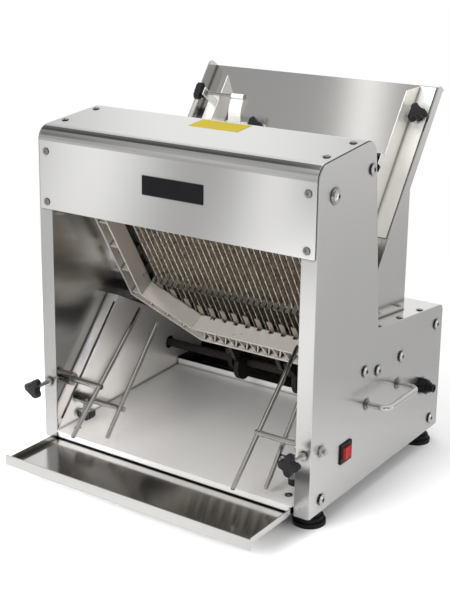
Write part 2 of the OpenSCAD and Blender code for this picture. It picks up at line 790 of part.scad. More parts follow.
module blade_frame(xs, ear_x, pin_side) {
    difference() {
        translate([0, 0, -frame_depth]) linear_extrude(frame_depth) ring_plan(0);
        translate([0, 0, -frame_depth + web_t]) linear_extrude(frame_depth) ring_plan(frame_wall);
        for (x = xs) if (abs(x) < bar_in_half - notch_w)
            box([x - notch_w / 2, -bar_in - frame_wall - over, -frame_depth - over],
                [x + notch_w / 2, -bar_in + over, -frame_depth + notch_deep]);
    }
    translate([0, 0, -frame_depth + web_t / 2]) linear_extrude(frame_depth - web_t / 2 - 2) intersection() {
        frame_ribs();
        ring_plan(0.4);
    }
    for (x = xs) box([x - tab_w / 2, -blade_low(x) - hook_len, -frame_depth - tab_t],
        [x + tab_w / 2, -blade_low(x) + tab_rise(x), -frame_depth]);
    both_sides() {
        box([ear_x, -pin_t, -frame_depth / 2 - ear_r], [ear_x + ear_w, -bar_out + 2, -frame_depth / 2 + ear_r]);
        x_bar(ear_r, ear_x, ear_x + ear_w, -pin_t, -frame_depth / 2);
        x_bar(wrist_r, pin_side > 0 ? ear_x : ear_x - wrist_len,
            pin_side > 0 ? ear_x + ear_w + wrist_len : ear_x + ear_w, -pin_t, -frame_depth / 2);
    }
}
middle = (blade_count - 1) / 2;
function bar_at(x) = abs(x) < bar_in_half ? bar_in
    : bar_in - (abs(x) - bar_in_half) * (bar_in - side_low) / (window_half - bar_in_half);
function blade_low(x) = bar_at(abs(x) - tab_w / 2) + hook_spare;
comb_low = (comb_tip_y - frame_y) * sin(blade_lean) - (comb_tip_z - frame_z) * cos(blade_lean);
function tab_rise(x) = min(tab_up, blade_low(x) - comb_low - half_stroke - comb_gap);
front_xs = [for (i = [0:2:blade_count - 1]) (i - middle) * blade_pitch];
rear_xs = [for (i = [1:2:blade_count - 1]) (i - middle) * blade_pitch];
front_ear_x = front_rod_x - pivot_gap - wrist_len - ear_w;
rear_ear_x = rear_rod_x + con_w + pivot_gap + wrist_len;
module rear_turn() translate([0, 0, -rear_face - frame_depth]) mirror([0, 0, 1]) children();
module front_blade_frame() color(cast) home() blade_place() blade_frame(front_xs, front_ear_x, 1);
module rear_blade_frame() color(cast) home() blade_place() rear_turn() blade_frame(rear_xs, rear_ear_x, -1);

// Blade hooks and slide blocks on the inner face of a frame
module frame_fittings(xs, lugs) {
    for (x = xs) {
        box([x - hook_w / 2, blade_top, -frame_depth - hook_deep],
            [x + hook_w / 2, blade_top + hook_len, -frame_depth]);
        box([x - hook_w / 2, -blade_low(x) - hook_len, -frame_depth - hook_deep],
            [x + hook_w / 2, -blade_low(x), -frame_depth - tab_t]);
    }
    both_sides() for (y = lugs) difference() {
        box([member_mid - lug_w / 2, y - lug_len / 2, -frame_depth - frame_gap + over],
            [member_mid + lug_w / 2, y + lug_len / 2, -frame_depth]);
        translate([member_mid, y - lug_len, -frame_depth - frame_gap / 2]) rotate([-90, 0, 0])
            cylinder(r = rod_r + run_gap, h = 2 * lug_len);
    }
}
module front_frame_fittings() color(cast) home() blade_place() frame_fittings(front_xs, front_lugs);
module rear_frame_fittings() color(cast) home() blade_place() rear_turn() frame_fittings(rear_xs, rear_lugs);

// Serrated blades between their hooks
module blade_set(xs) {
    edge = -blade_plane - blade_w / 2;
    for (x = xs) let (
        low = -blade_low(x),
        count = floor((blade_top - low) / tooth),
        teeth = [for (k = [0:count - 1]) each [[low + k * tooth, edge],
            [low + (k + 0.5) * tooth, edge + tooth_deep]]]
    ) along_x(x - blade_t / 2, x + blade_t / 2) polygon(concat(teeth,
        [[low + count * tooth, edge], [blade_top, edge], [blade_top, edge + blade_w],
        [low, edge + blade_w]]));
}
module front_blades() color(steel) home() blade_place() blade_set(front_xs);
module rear_blades() color(steel) home() blade_place() blade_set(rear_xs);

// Crankshaft with two pairs of eccentrics, and the rods that they drive
module con_rod(x, pin_z, ecc_z) {
    rise = [crank_t - pin_t, pin_z - ecc_z];
    difference() {
        union() {
            x_bar(strap_r, x, x + con_w, -crank_t, ecc_z);
            x_bar(eye_r, x, x + con_w, -pin_t, pin_z);
            translate([x, -crank_t, ecc_z]) rotate([atan2(rise[1], rise[0]), 0, 0])
                translate([0, 0, -con_bar / 2]) cube([con_w, norm(rise), con_bar]);
        }
        x_bar(ecc_r + run_gap, x - over, x + con_w + over, -crank_t, ecc_z);
        x_bar(wrist_r + run_gap, x - over, x + con_w + over, -pin_t, pin_z);
    }
}
front_pin_z = -frame_depth / 2;
rear_pin_z = -rear_face - frame_depth / 2;
front_ecc_z = -blade_plane + half_stroke;
rear_ecc_z = -blade_plane - half_stroke;
module front_con_rods() color(cast) home() blade_place() both_sides()
    con_rod(front_rod_x, front_pin_z, front_ecc_z);
module rear_con_rods() color(cast) home() blade_place() both_sides()
    con_rod(rear_rod_x, rear_pin_z, rear_ecc_z);
module crankshaft() color(steel) home() blade_place() {
    x_bar(shaft_r, -shaft_end, shaft_end, -crank_t, -blade_plane);
    both_sides() {
        x_bar(ecc_r, front_rod_x - 1, front_rod_x + con_w + 1, -crank_t, front_ecc_z);
        x_bar(ecc_r, rear_rod_x - 1, rear_rod_x + con_w + 1, -crank_t, rear_ecc_z);
    }
}
module bearing_blocks() color(cast) home() both_sides() difference() {
    translate([inner_x - bearing_w, crank_y - bearing_h / 2, crank_z - bearing_h / 2])
        cube([bearing_w, bearing_h, bearing_h]);
    x_bar(shaft_r + run_gap, inner_x - bearing_w - over, inner_x - 2, crank_y, crank_z);
}

// Pulleys, belt and motor
module pulley(r, bore) difference() {
    union() {
        cylinder(r = r - belt_drop - belt_gap, h = pulley_w);
        cylinder(r = r, h = (pulley_w - groove_w) / 2);
        translate([0, 0, (pulley_w + groove_w) / 2]) cylinder(r = r, h = (pulley_w - groove_w) / 2);
    }
    translate([0, 0, -over]) cylinder(r = bore + run_gap, h = pulley_w + 2 * over);
}
module driven_pulley() color(cast) home() translate([pulley_x, crank_y, crank_z]) rotate([0, 90, 0])
    pulley(driven_r, shaft_r);
module motor_pulley() color(cast) home() translate([pulley_x, motor_y, motor_z]) rotate([0, 90, 0])
    pulley(motor_pulley_r, motor_shaft_r);
function belt_path(r0, r1, gap) = let (turn = acos((r0 - r1) / gap)) concat(
    [for (k = [0:belt_steps]) let (a = turn + k * (360 - 2 * turn) / belt_steps) r0 * [cos(a), sin(a)]],
    [for (k = [0:belt_steps]) let (a = -turn + k * 2 * turn / belt_steps)
        [gap, 0] + r1 * [cos(a), sin(a)]]);
module drive_belt() color(black) home() {
    gap = norm([motor_y - crank_y, motor_z - crank_z]);
    r0 = driven_r - belt_drop;
    r1 = motor_pulley_r - belt_drop;
    translate([pulley_x + (pulley_w - belt_w) / 2, crank_y, crank_z]) rotate([90, 0, 90])
        rotate(atan2(motor_z - crank_z, motor_y - crank_y)) linear_extrude(belt_w) difference() {
            polygon(belt_path(r0 + belt_t, r1 + belt_t, gap));
            polygon(belt_path(r0, r1, gap));
        }
}
module motor_shaft() color(steel) home()
    x_bar(motor_shaft_r, motor_right - motor_shaft_in, pulley_x + pulley_w + 2, motor_y, motor_z);
module motor() color(cast) home() difference() {
    translate([motor_x, motor_y, motor_z]) {
        rotate([0, 90, 0]) {
            cylinder(r = motor_r - fin_h, h = motor_len);
            cylinder(r = motor_r, h = motor_end);
            translate([0, 0, motor_len - motor_end]) cylinder(r = motor_r, h = motor_end);
            for (k = [0:fin_count - 1]) rotate(k * 360 / fin_count)
                translate([motor_r - fin_h - over, -fin_t / 2, motor_end / 2])
                    cube([fin_h + over, fin_t, motor_len - motor_end]);
        }
        translate([motor_end, -motor_foot_y, -motor_foot_drop])
            cube([motor_len - 2 * motor_end, 2 * motor_foot_y, motor_foot_h]);
        for (side = [-1, 1]) translate([motor_end, side * motor_foot_y / 2 - fin_h, -motor_foot_drop])
            cube([motor_len - 2 * motor_end, 2 * fin_h, motor_r / 2]);
    }
    x_bar(motor_shaft_r + run_gap, motor_right - motor_shaft_in - pivot_gap, motor_right + over,
        motor_y, motor_z);
}
module motor_bracket() color(steel) home() {
    top = motor_z - motor_foot_drop;
    x0 = motor_x + motor_end;
    x1 = motor_x + motor_len - motor_end;
    box([x0, motor_y - motor_foot_y, top - bracket_t], [x1, motor_y + motor_foot_y, top]);
    for (x = [x0, x1 - bracket_t])
        box([x, motor_y - motor_foot_y, panel_t], [x + bracket_t, motor_y + motor_foot_y, top - bracket_t]);
}

// Crumb tray, drawn half out
module crumb_tray() color(steel) home() {
    low = panel_t + slide_gap;
    back = tray_len - tray_out;
    box([-tray_half, -tray_out, low], [tray_half, back, low + tray_t]);
    box([-tray_lip_half, -tray_out, tray_lip_low], [tray_lip_half, -tray_out + tray_t, tray_lip_h]);
    for (x = [-tray_half, tray_half - tray_t])
        box([x, -tray_out, low], [x + tray_t, back, tray_wall_h]);
    box([-tray_half, back - tray_t, low], [tray_half, back, low + tray_t + tray_rim]);
}

// Infeed guides, drawn on the chute floor
module right_infeed_guide() color(steel) home() chute_place() {
    along_x(right_guide_x, right_guide_x + sheet_t) polygon([[-right_bend_s, slide_gap],
        [-right_tip_s, guide_h], [-side_knob_s + ear_half, guide_h], [-side_knob_s + ear_half, ear_up_h],
        [-side_knob_s - ear_half, ear_up_h], [-side_knob_s - ear_half, guide_h], [-guide_low, guide_h],
        [-guide_low, slide_gap]]);
    box([right_guide_x, -guide_low, slide_gap], [right_leg_x, -right_bend_s, slide_gap + sheet_t]);
    translate([right_knob_x, -right_knob_s, 0]) floor_stud();
    x_bar(stud_r, right_guide_x - knob_h - knob_collar_h + 2 * knob_crown, right_guide_x + over, -side_knob_s, side_knob_h);
}
module floor_stud() {
    translate([0, 0, -chute_t - slide_gap - head_h]) cylinder(r = head_r, h = head_h);
    translate([0, 0, -chute_t - slide_gap - over])
        cylinder(r = stud_r, h = chute_t + over + knob_seat + knob_h - 2 * knob_crown);
}
module left_infeed_guide() color(steel) home() chute_place() difference() {
    union() {
        along_x(-left_guide_x - sheet_t, -left_guide_x) polygon([[-left_bend_s, slide_gap],
            [-left_tip_s, guide_h], [-guide_low, guide_h], [-guide_low, slide_gap]]);
        box([-left_leg_x, -guide_low, slide_gap], [-left_guide_x, -left_bend_s, slide_gap + sheet_t]);
        box([-left_guide_x - over, -left_knob_s - foot_strip_half, slide_gap],
            [-left_knob_x + foot_strip_half, -left_knob_s + foot_strip_half, slide_gap + sheet_t]);
        box([-rod_ear_x - sheet_t, -rod_s - 8, slide_gap], [-rod_ear_x, -rod_s + 8, ear_up_h]);
        translate([-left_knob_x, -left_knob_s, 0]) floor_stud();
    }
    x_bar(flap_rod_r + run_gap, -rod_ear_x - 2 * sheet_t, -rod_ear_x + sheet_t, -rod_s, rod_h);
}

// Loaf flap hanging from its rod
rod_y = chute_top_y - rod_s * cos(chute_angle) - rod_h * sin(chute_angle);
rod_z = chute_top_h - rod_s * sin(chute_angle) + rod_h * cos(chute_angle);
module flap_rod() color(steel) home() {
    x_bar(flap_rod_r, -rod_ear_x - knob_h - knob_collar_h + 2 * knob_crown, -rod_inner_x, rod_y, rod_z);
    x_bar(flap_hub_r, -rod_ear_x, -rod_ear_x + 4, rod_y, rod_z);
    x_bar(flap_hub_r, -rod_inner_x - 1.5, -rod_inner_x, rod_y, rod_z);
    x_bar(flap_hub_r, -flap_out_x - 3, -flap_out_x - 0.5, rod_y, rod_z);
}
module loaf_flap() color(steel) home() translate([0, rod_y, rod_z]) difference() {
    spread = 2 * asin(flap_len / (2 * flap_bow));
    union() {
        x_bar(flap_hub_r, -flap_out_x, -flap_in_x, 0, 0);
        along_x(-flap_out_x, -flap_in_x) rotate(-90) polygon(concat(
            [for (k = [0:10]) flap_point(flap_bow, k * spread / 10, spread)],
            [for (k = [10:-1:0]) flap_point(flap_bow - flap_t, k * spread / 10, spread)]));
    }
    x_bar(flap_rod_r + run_gap, -flap_out_x - over, -flap_in_x + over, 0, 0);
}
function flap_point(r, turn, spread) = let (tilt = turn - spread / 2)
    [flap_bow * sin(spread / 2) + r * sin(tilt), flap_bow * cos(spread / 2) - r * cos(tilt)];

// Star knobs: +z points out of the knob, the stud or bore runs towards -z
module star_plan(lobes) {
    lobe_r = knob_r * 0.36;
    circle(knob_r * 0.58);
    for (k = [0:lobes - 1]) rotate(k * 360 / lobes) {
        translate([knob_r - lobe_r, 0]) circle(lobe_r);
        translate([0, -lobe_r]) square([knob_r - lobe_r, 2 * lobe_r]);
    }
}
module star_knob(lobes, collar_h = knob_collar_h) {
    intersection() {
        linear_extrude(knob_h) star_plan(lobes);
        translate([0, 0, knob_h - 2 * knob_r]) sphere(r = 2 * knob_r);
    }
    translate([0, 0, -collar_h]) cylinder(r = knob_collar_r, h = collar_h + over);
}
module bored_knob(lobes, bore_r, collar_h = knob_collar_h) difference() {
    star_knob(lobes, collar_h);
    translate([0, 0, -collar_h - over])
        cylinder(r = bore_r + run_gap, h = collar_h + knob_h - knob_crown + over);
}
module flap_knob() color(black) home() translate([-rod_ear_x - sheet_t - slide_gap - knob_collar_h, rod_y, rod_z])
    rotate([0, -90, 0]) bored_knob(3, flap_rod_r);
knob_seat = slide_gap + sheet_t + slide_gap + floor_collar_h;
module left_guide_knob() color(black) home() chute_place()
    translate([-left_knob_x, -left_knob_s, knob_seat]) bored_knob(3, stud_r, floor_collar_h);
module right_guide_knob() color(black) home() chute_place()
    translate([right_knob_x, -right_knob_s, knob_seat]) bored_knob(3, stud_r, floor_collar_h);
module side_guide_knob() color(black) home() chute_place()
    translate([right_guide_x - slide_gap - knob_collar_h, -side_knob_s, side_knob_h])
        rotate([0, -90, 0]) bored_knob(3, stud_r);

// Outfeed guides: a sloping wire on a cross rod
module upper_guide(wire_x) {
    plane_bar(wire_r, wire_x, upper_low, upper_top);
    x_bar(cross_r, wire_x - wire_r - over, half_w + pivot_gap + stop_h + stop_tip, upper_cross[0], upper_cross[1]);
    translate([half_w + pivot_gap, upper_cross[0], upper_cross[1]]) rotate([0, 90, 0])
        cylinder(r = stop_r, h = stop_h, $fn = 6);
}
module lower_guide(wire_x) {
    plane_bar(wire_r, wire_x, lower_low, lower_top);
    x_bar(cross_r, wire_x - wire_r - over, guard_x + lower_through, lower_cross[0], lower_cross[1]);
}
module left_upper_guide() color(steel) home() mirror([1, 0, 0]) upper_guide(left_upper_x);
module right_upper_guide() color(steel) home() upper_guide(right_upper_x);
module left_lower_guide() color(steel) home() mirror([1, 0, 0]) lower_guide(left_lower_x);
module right_lower_guide() color(steel) home() lower_guide(right_lower_x);
module column_clamps() color(steel) home() both_sides() difference() {
    x_bar(clamp_r, inner_x - clamp_in, inner_x, upper_cross[0], upper_cross[1]);
    x_bar(cross_r + run_gap, inner_x - clamp_in - over, inner_x + over, upper_cross[0], upper_cross[1]);
    translate([upper_stud_x, 0, upper_cross[1]]) rotate([-90, 0, 0])
        cylinder(r = stud_r + run_gap, h = upper_cross[0]);
}
module guard_clamps() color(steel) home() both_sides() difference() {
    x_bar(lower_clamp_r, guard_x - lower_clamp_len, guard_x, lower_cross[0], lower_cross[1]);
    x_bar(cross_r + run_gap, guard_x - lower_clamp_len - over, guard_x + over, lower_cross[0], lower_cross[1]);
    translate([lower_stud_x, lower_cross[0], 0]) cylinder(r = stud_r + run_gap, h = lower_cross[1]);
}
module upper_knob(lobes) translate([upper_stud_x, upper_knob_y, upper_cross[1]]) rotate([90, 0, 0]) {
    star_knob(lobes);
    reach = upper_cross[0] - upper_knob_y - cross_r - slide_gap;
    translate([0, 0, -reach]) cylinder(r = stud_r, h = reach + over);
    translate([0, 0, upper_knob_y + slide_gap]) cylinder(r = lock_nut_r, h = lock_nut_h, $fn = 6);
}
module lower_knob(lobes) translate([lower_stud_x, lower_cross[0], lower_knob_z]) rotate([180, 0, 0]) {
    star_knob(lobes);
    reach = lower_cross[1] - lower_knob_z - cross_r - slide_gap;
    translate([0, 0, -reach]) cylinder(r = stud_r, h = reach + over);
}
module left_upper_knob() color(black) home() mirror([1, 0, 0]) upper_knob(3);
module right_upper_knob() color(black) home() upper_knob(4);
module left_lower_knob() color(black) home() mirror([1, 0, 0]) lower_knob(3);
module right_lower_knob() color(black) home() lower_knob(3);

left_side_panel();
right_side_panel();
hood();
hood_screws();
base_plate();
rubber_feet();
rear_panel();
rear_top_cover();
cover_screws();
chute();
chute_comb();
chute_support();
receiving_plate();
plate_screws();
left_guard();
right_guard();
side_bolts();
left_handle();
right_handle();
cable_gland();
switch_housing();
switch_rocker();
guide_rods();
rod_brackets();
front_blade_frame();
rear_blade_frame();
front_frame_fittings();
rear_frame_fittings();
front_blades();
rear_blades();
front_con_rods();
rear_con_rods();
crankshaft();
bearing_blocks();
driven_pulley();
drive_belt();
motor_pulley();
motor_shaft();
motor();
motor_bracket();
crumb_tray();
left_infeed_guide();
right_infeed_guide();
flap_rod();
loaf_flap();
flap_knob();
left_guide_knob();
right_guide_knob();
side_guide_knob();
left_upper_guide();
right_upper_guide();
left_lower_guide();
right_lower_guide();
column_clamps();
guard_clamps();
left_upper_knob();
right_upper_knob();
left_lower_knob();
right_lower_knob();
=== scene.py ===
"""Bread slicer: finishes, small pieces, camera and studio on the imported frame."""

import json
import logging
import math
from dataclasses import dataclass
from enum import Enum

import bmesh
import bpy
from mathutils import Matrix, Vector

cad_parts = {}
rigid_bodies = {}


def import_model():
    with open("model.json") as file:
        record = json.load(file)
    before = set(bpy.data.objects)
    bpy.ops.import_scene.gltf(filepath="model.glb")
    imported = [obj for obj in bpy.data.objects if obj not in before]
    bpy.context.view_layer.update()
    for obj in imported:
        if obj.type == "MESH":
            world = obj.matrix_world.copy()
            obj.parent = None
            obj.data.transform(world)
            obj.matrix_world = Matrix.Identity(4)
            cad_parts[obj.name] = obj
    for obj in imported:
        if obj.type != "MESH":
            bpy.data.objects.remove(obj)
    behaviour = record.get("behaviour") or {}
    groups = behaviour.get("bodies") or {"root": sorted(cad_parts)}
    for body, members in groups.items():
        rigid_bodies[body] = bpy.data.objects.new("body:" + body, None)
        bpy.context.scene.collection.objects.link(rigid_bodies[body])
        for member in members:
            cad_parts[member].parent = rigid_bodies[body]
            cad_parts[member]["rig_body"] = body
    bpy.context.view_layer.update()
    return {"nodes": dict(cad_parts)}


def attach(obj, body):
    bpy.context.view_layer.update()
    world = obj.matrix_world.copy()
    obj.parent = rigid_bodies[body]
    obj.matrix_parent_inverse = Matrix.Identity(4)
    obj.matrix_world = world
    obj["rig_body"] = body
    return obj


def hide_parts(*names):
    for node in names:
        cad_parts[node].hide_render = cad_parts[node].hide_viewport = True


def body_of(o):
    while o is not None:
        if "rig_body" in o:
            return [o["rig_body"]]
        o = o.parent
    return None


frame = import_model()

logging.basicConfig(level=logging.INFO, format="%(message)s")
LOG = logging.getLogger("slicer")

# A millimetre in metres, and the frame's origin in the machine's own millimetres
MM = 0.001
MIDDLE_Y = 183.57
FOOT_RISE = 30.0

# Octaves of finer noise, their weight, and the values that a noise usually lies between
PLAIN_DETAIL = 2.0
FINE_DETAIL = 3.0
WORN_DETAIL = 4.0
NOISE_ROUGHNESS = 0.55
NOISE_ENDS = (0.3, 0.7)

# Painted shade in seams and around heads: rays, the shares of open sky where the shade is darkest and
# where it ends, and its darkest level
SEAM_SHADE_SAMPLES = 6
SEAM_SHADE_CLOSED = 0.3
SEAM_SHADE_OPEN = 0.95
SEAM_SHADE_LEVEL = 0.05

# Rays that round an edge in shading
EDGE_SAMPLES = 4

# Small parts that keep a grain from lying along a face's normal
GRAIN_SLANT = (0.021, 0.013, 0.017)

# Points closer than this, in millimetres, are merged
MERGE_GAP = 0.002

# Faces look the same way where their directions agree by more than this
SAME_WAY = 0.9

# Smooth shading stops at edges sharper than these degrees
HEAD_ANGLE = 35.0
KNOB_ANGLE = 60.0

WHITE = (1.0, 1.0, 1.0, 1.0)

Colour = tuple[float, float, float]
Point = tuple[float, float, float]
Span = tuple[float, float]
Head = tuple[Vector, Vector]
Socket = bpy.types.NodeSocket


class Axis(Enum):
    """The direction that a brushed grain or a stud runs in."""

    ACROSS = 0
    DEPTH = 1
    UPRIGHT = 2


class Slot(Enum):
    """The names of the record's finishes, which no piece here is given."""

    SHEET = "brushed_sheet"
    BRIGHT = "bright_steel"
    KNOB = "knob_plastic"
    SWITCH = "switch_black"


def spot(x: float, y: float, z: float) -> Vector:
    """Turns a place on the machine into the frame.

    Args:
        x: millimetres to the right of the middle.
        y: millimetres behind the front of the columns.
        z: millimetres above the bottom edge of the panels.

    Returns:
        The place in metres.
    """
    return Vector((x * MM, (y - MIDDLE_Y) * MM, (z + FOOT_RISE) * MM))


def shade(colour: Colour, level: float) -> Colour:
    """Scales a colour's level."""
    return (colour[0] * level, colour[1] * level, colour[2] * level)


def even(waves: float) -> Point:
    """Gives all three axes the same waves per metre."""
    return (waves, waves, waves)


class Nodes:
    """A node tree, built node by node."""

    def __init__(self, tree: bpy.types.NodeTree) -> None:
        """Takes a tree and empties it."""
        self.tree = tree
        self.tree.nodes.clear()

    def add(self, kind: str, **values: object) -> bpy.types.Node:
        """Adds a node and sets its sockets.

        Args:
            kind: the node's type name.
            values: socket values by socket name, with _ for a space.

        Returns:
            The new node.
        """
        node = self.tree.nodes.new(kind)
        for socket, value in values.items():
            node.inputs[socket.replace("_", " ")].default_value = value
        return node

    def join(self, source: Socket, target: Socket) -> None:
        """Links two sockets."""
        self.tree.links.new(source, target)

    def combine(self, operation: str, first: Socket, second: Socket | float = 0.0) -> Socket:
        """Works out one value from two.

        Args:
            operation: the sum's name.
            first: the socket with the first value.
            second: the socket with the second value, or a number. Left out where one value is enough.

        Returns:
            The socket with the result.
        """
        node = self.add("ShaderNodeMath")
        node.operation = operation
        self.join(first, node.inputs[0])
        if isinstance(second, float):
            node.inputs[1].default_value = second
        else:
            self.join(second, node.inputs[1])
        return node.outputs["Value"]

    def ramp(self, source: Socket, ends: Span, levels: Span = (0.0, 1.0), smooth: bool = False) -> Socket:
        """Maps a value from one range to another.

        Args:
            source: the socket with the value.
            ends: the two values between which the result changes.
            levels: the results at the two ends.
            smooth: whether the change starts and stops gently.

        Returns:
            The socket with the result.
        """
        node = self.add("ShaderNodeMapRange", From_Min=ends[0], From_Max=ends[1])
        node.inputs["To Min"].default_value = levels[0]
        node.inputs["To Max"].default_value = levels[1]
        if smooth:
            node.interpolation_type = "SMOOTHSTEP"
        self.join(source, node.inputs["Value"])
        return node.outputs["Result"]

    def along(self, source: Socket, direction: Vector) -> Socket:
        """Measures a vector along a direction.

        Args:
            source: the socket with the vector.
            direction: the direction.

        Returns:
            The socket with the length.
        """
        node = self.add("ShaderNodeVectorMath")
        node.operation = "DOT_PRODUCT"
        node.inputs[1].default_value = direction
        self.join(source, node.inputs[0])
        return node.outputs["Value"]

    def mix(self, factor: Socket, first: bpy.types.Node, second: bpy.types.Node) -> bpy.types.Node:
        """Mixes two shaders.

        Args:
            factor: the socket with the second shader's share.
            first: the first shader.
            second: the second shader.

        Returns:
            The node with the mix.
        """
        node = self.add("ShaderNodeMixShader")
        self.join(factor, node.inputs[0])
        self.join(first.outputs[0], node.inputs[1])
        self.join(second.outputs[0], node.inputs[2])
        return node


class Graph(Nodes):
    """A material's node tree."""

    def __init__(self, name: str) -> None:
        """Starts an empty tree in a new material."""
        self.material = bpy.data.materials.new(name)
        self.material.use_nodes = True
        super().__init__(self.material.node_tree)

    def place(self) -> Socket:
        """Returns the socket with the place on the object."""
        return self.add("ShaderNodeTexCoord").outputs["Object"]

    def noise(self, waves: Point, detail: float = PLAIN_DETAIL) -> Socket:
        """Adds a noise on the object's own coordinates.

        Args:
            waves: waves per metre along each axis.
            detail: octaves of finer noise.

        Returns:
            The socket with values about one half.
        """
        lie = self.add("ShaderNodeMapping", Scale=waves)
        texture = self.add("ShaderNodeTexNoise", Scale=1.0, Detail=detail, Roughness=NOISE_ROUGHNESS)
        self.join(self.place(), lie.inputs["Vector"])
        self.join(lie.outputs["Vector"], texture.inputs["Vector"])
        return texture.outputs["Fac"]

    def span(self, source: Socket, low: float, high: float) -> Socket:
        """Maps a noise's usual values to a range and returns the result's socket."""
        return self.ramp(source, NOISE_ENDS, (low, high))

    def roughen(self, shader: bpy.types.Node, source: Socket, rough: float, change: Span) -> None:
        """Lets a noise change a shader's roughness.

        Args:
            shader: the shader.
            source: the socket with the noise.
            rough: the usual roughness.
            change: what the noise adds where it is weak and where it is strong.
        """
        worn = self.span(source, rough + change[0], rough + change[1])
        self.join(worn, shader.inputs["Roughness"])

    def pores(self, shader: bpy.types.Node, waves: float, strength: float, height: float) -> None:
        """Gives a shader fine pores.

        Args:
            shader: the shader.
            waves: pores per metre.
            strength: how clearly they show, from 0 to 1.
            height: their depth in metres.
        """
        bump = self.add("ShaderNodeBump", Strength=strength, Distance=height)
        self.join(self.noise(even(waves)), bump.inputs["Height"])
        self.join(bump.outputs["Normal"], shader.inputs["Normal"])

    def blend(self, factor: Socket, low: Colour, high: Colour) -> Socket:
        """Blends two colours.

        Args:
            factor: the socket with the second colour's share.
            low: the first colour.
            high: the second colour.

        Returns:
            The socket with the blend.
        """
        node = self.add("ShaderNodeMix")
        node.data_type = "RGBA"
        ends = [socket for socket in node.inputs if socket.type == "RGBA"]
        ends[0].default_value = (*low, 1.0)
        ends[1].default_value = (*high, 1.0)
        self.join(factor, node.inputs["Factor"])
        return next(socket for socket in node.outputs if socket.type == "RGBA")

    def across(self, grain: Axis) -> Socket:
        """Finds the direction in the surface that lies across a grain.

        Args:
            grain: the direction of the grain.

        Returns:
            The socket with the direction.
        """
        lengthwise = list(GRAIN_SLANT)
        lengthwise[grain.value] = 1.0
        surface = self.add("ShaderNodeNewGeometry")
        cross = self.add("ShaderNodeVectorMath")
        cross.operation = "CROSS_PRODUCT"
        cross.inputs[1].default_value = lengthwise
        self.join(surface.outputs["Normal"], cross.inputs[0])
        return cross.outputs["Vector"]

    def reach(self, direction: Vector, ends: Span, levels: Span = (0.0, 1.0)) -> Socket:
        """Maps how far along a direction a place lies.

        Args:
            direction: the direction.
            ends: the two distances from the origin between which the result changes, in metres.
            levels: the results at the two ends.

        Returns:
            The socket with the result.
        """
        return self.ramp(self.along(self.place(), direction), ends, levels)

    def paint_seam_shade(self, tone: Socket, reach: float, closed: float = SEAM_SHADE_CLOSED) -> Socket:
        """Paints shade into a colour in seams and around heads, where little open sky reaches.

        Args:
            tone: the socket with the colour.
            reach: how far from a seam the painted shade reaches, in metres.
            closed: share of open sky at which it is darkest.

        Returns:
            The socket with the darkened colour.
        """
        sky = self.add("ShaderNodeAmbientOcclusion", Distance=reach)
        sky.samples = SEAM_SHADE_SAMPLES
        level = self.ramp(sky.outputs["AO"], (closed, SEAM_SHADE_OPEN), (SEAM_SHADE_LEVEL, 1.0))
        return self.scale(tone, level)

    def scale(self, tone: Socket, level: Socket) -> Socket:
        """Scales a colour.

        Args:
            tone: the socket with the colour.
            level: the socket with the scale.

        Returns:
            The socket with the scaled colour.
        """
        node = self.add("ShaderNodeVectorMath")
        node.operation = "SCALE"
        self.join(tone, node.inputs[0])
        self.join(level, node.inputs["Scale"])
        return node.outputs["Vector"]

    def close(self, shader: bpy.types.Node) -> bpy.types.Material:
        """Links the shader to the output and returns the material."""
        output = self.add("ShaderNodeOutputMaterial")
        self.join(shader.outputs[0], output.inputs["Surface"])
        return self.material


@dataclass(frozen=True)
class BrushedSteel:
    """Sheet steel with a straight grain and faint handling marks."""

    name: str
    tone: Colour = (0.66, 0.655, 0.645)
    rough: float = 0.14
    grain: Axis = Axis.ACROSS
    metal: float = 1.0
    shade_reach: float = 0.007
    closed: float = SEAM_SHADE_CLOSED
    spread: float = 0.8
    edge: float = 0.0012
    hair: Span = (320.0, 2.5)
    band: Span = (60.0, 1.2)
    mark: float = 7.0
    sheen: float = 0.015
    hair_rough: float = 0.003
    mark_rough: Span = (-0.004, 0.006)

    def streaks(self, waves: Span) -> Point:
        """Lays waves across and along the grain onto the three axes."""
        stretch = list(even(waves[0]))
        stretch[self.grain.value] = waves[1]
        return tuple(stretch)

    def material(self) -> bpy.types.Material:
        """Builds the finish and returns its material."""
        graph = Graph(self.name)
        hair = graph.noise(self.streaks(self.hair), FINE_DETAIL)
        band = graph.noise(self.streaks(self.band))
        marks = graph.noise(even(self.mark), WORN_DETAIL)
        shader = graph.add("ShaderNodeBsdfPrincipled", Metallic=self.metal, Anisotropic=self.spread)
        graph.join(graph.across(self.grain), shader.inputs["Tangent"])
        tone = graph.blend(band, shade(self.tone, 1.0 - self.sheen), shade(self.tone, 1.0 + self.sheen))
        # Painted shade: the colour darkens in seams and around heads, where little open sky reaches
        graph.join(graph.paint_seam_shade(tone, self.shade_reach, self.closed), shader.inputs["Base Color"])
        brushed = graph.span(hair, self.rough - self.hair_rough, self.rough + self.hair_rough)
        handled = graph.span(marks, *self.mark_rough)
        graph.join(graph.combine("ADD", brushed, handled), shader.inputs["Roughness"])
        edges = graph.add("ShaderNodeBevel", Radius=self.edge)
        edges.samples = EDGE_SAMPLES
        graph.join(edges.outputs["Normal"], shader.inputs["Normal"])
        return graph.close(shader)


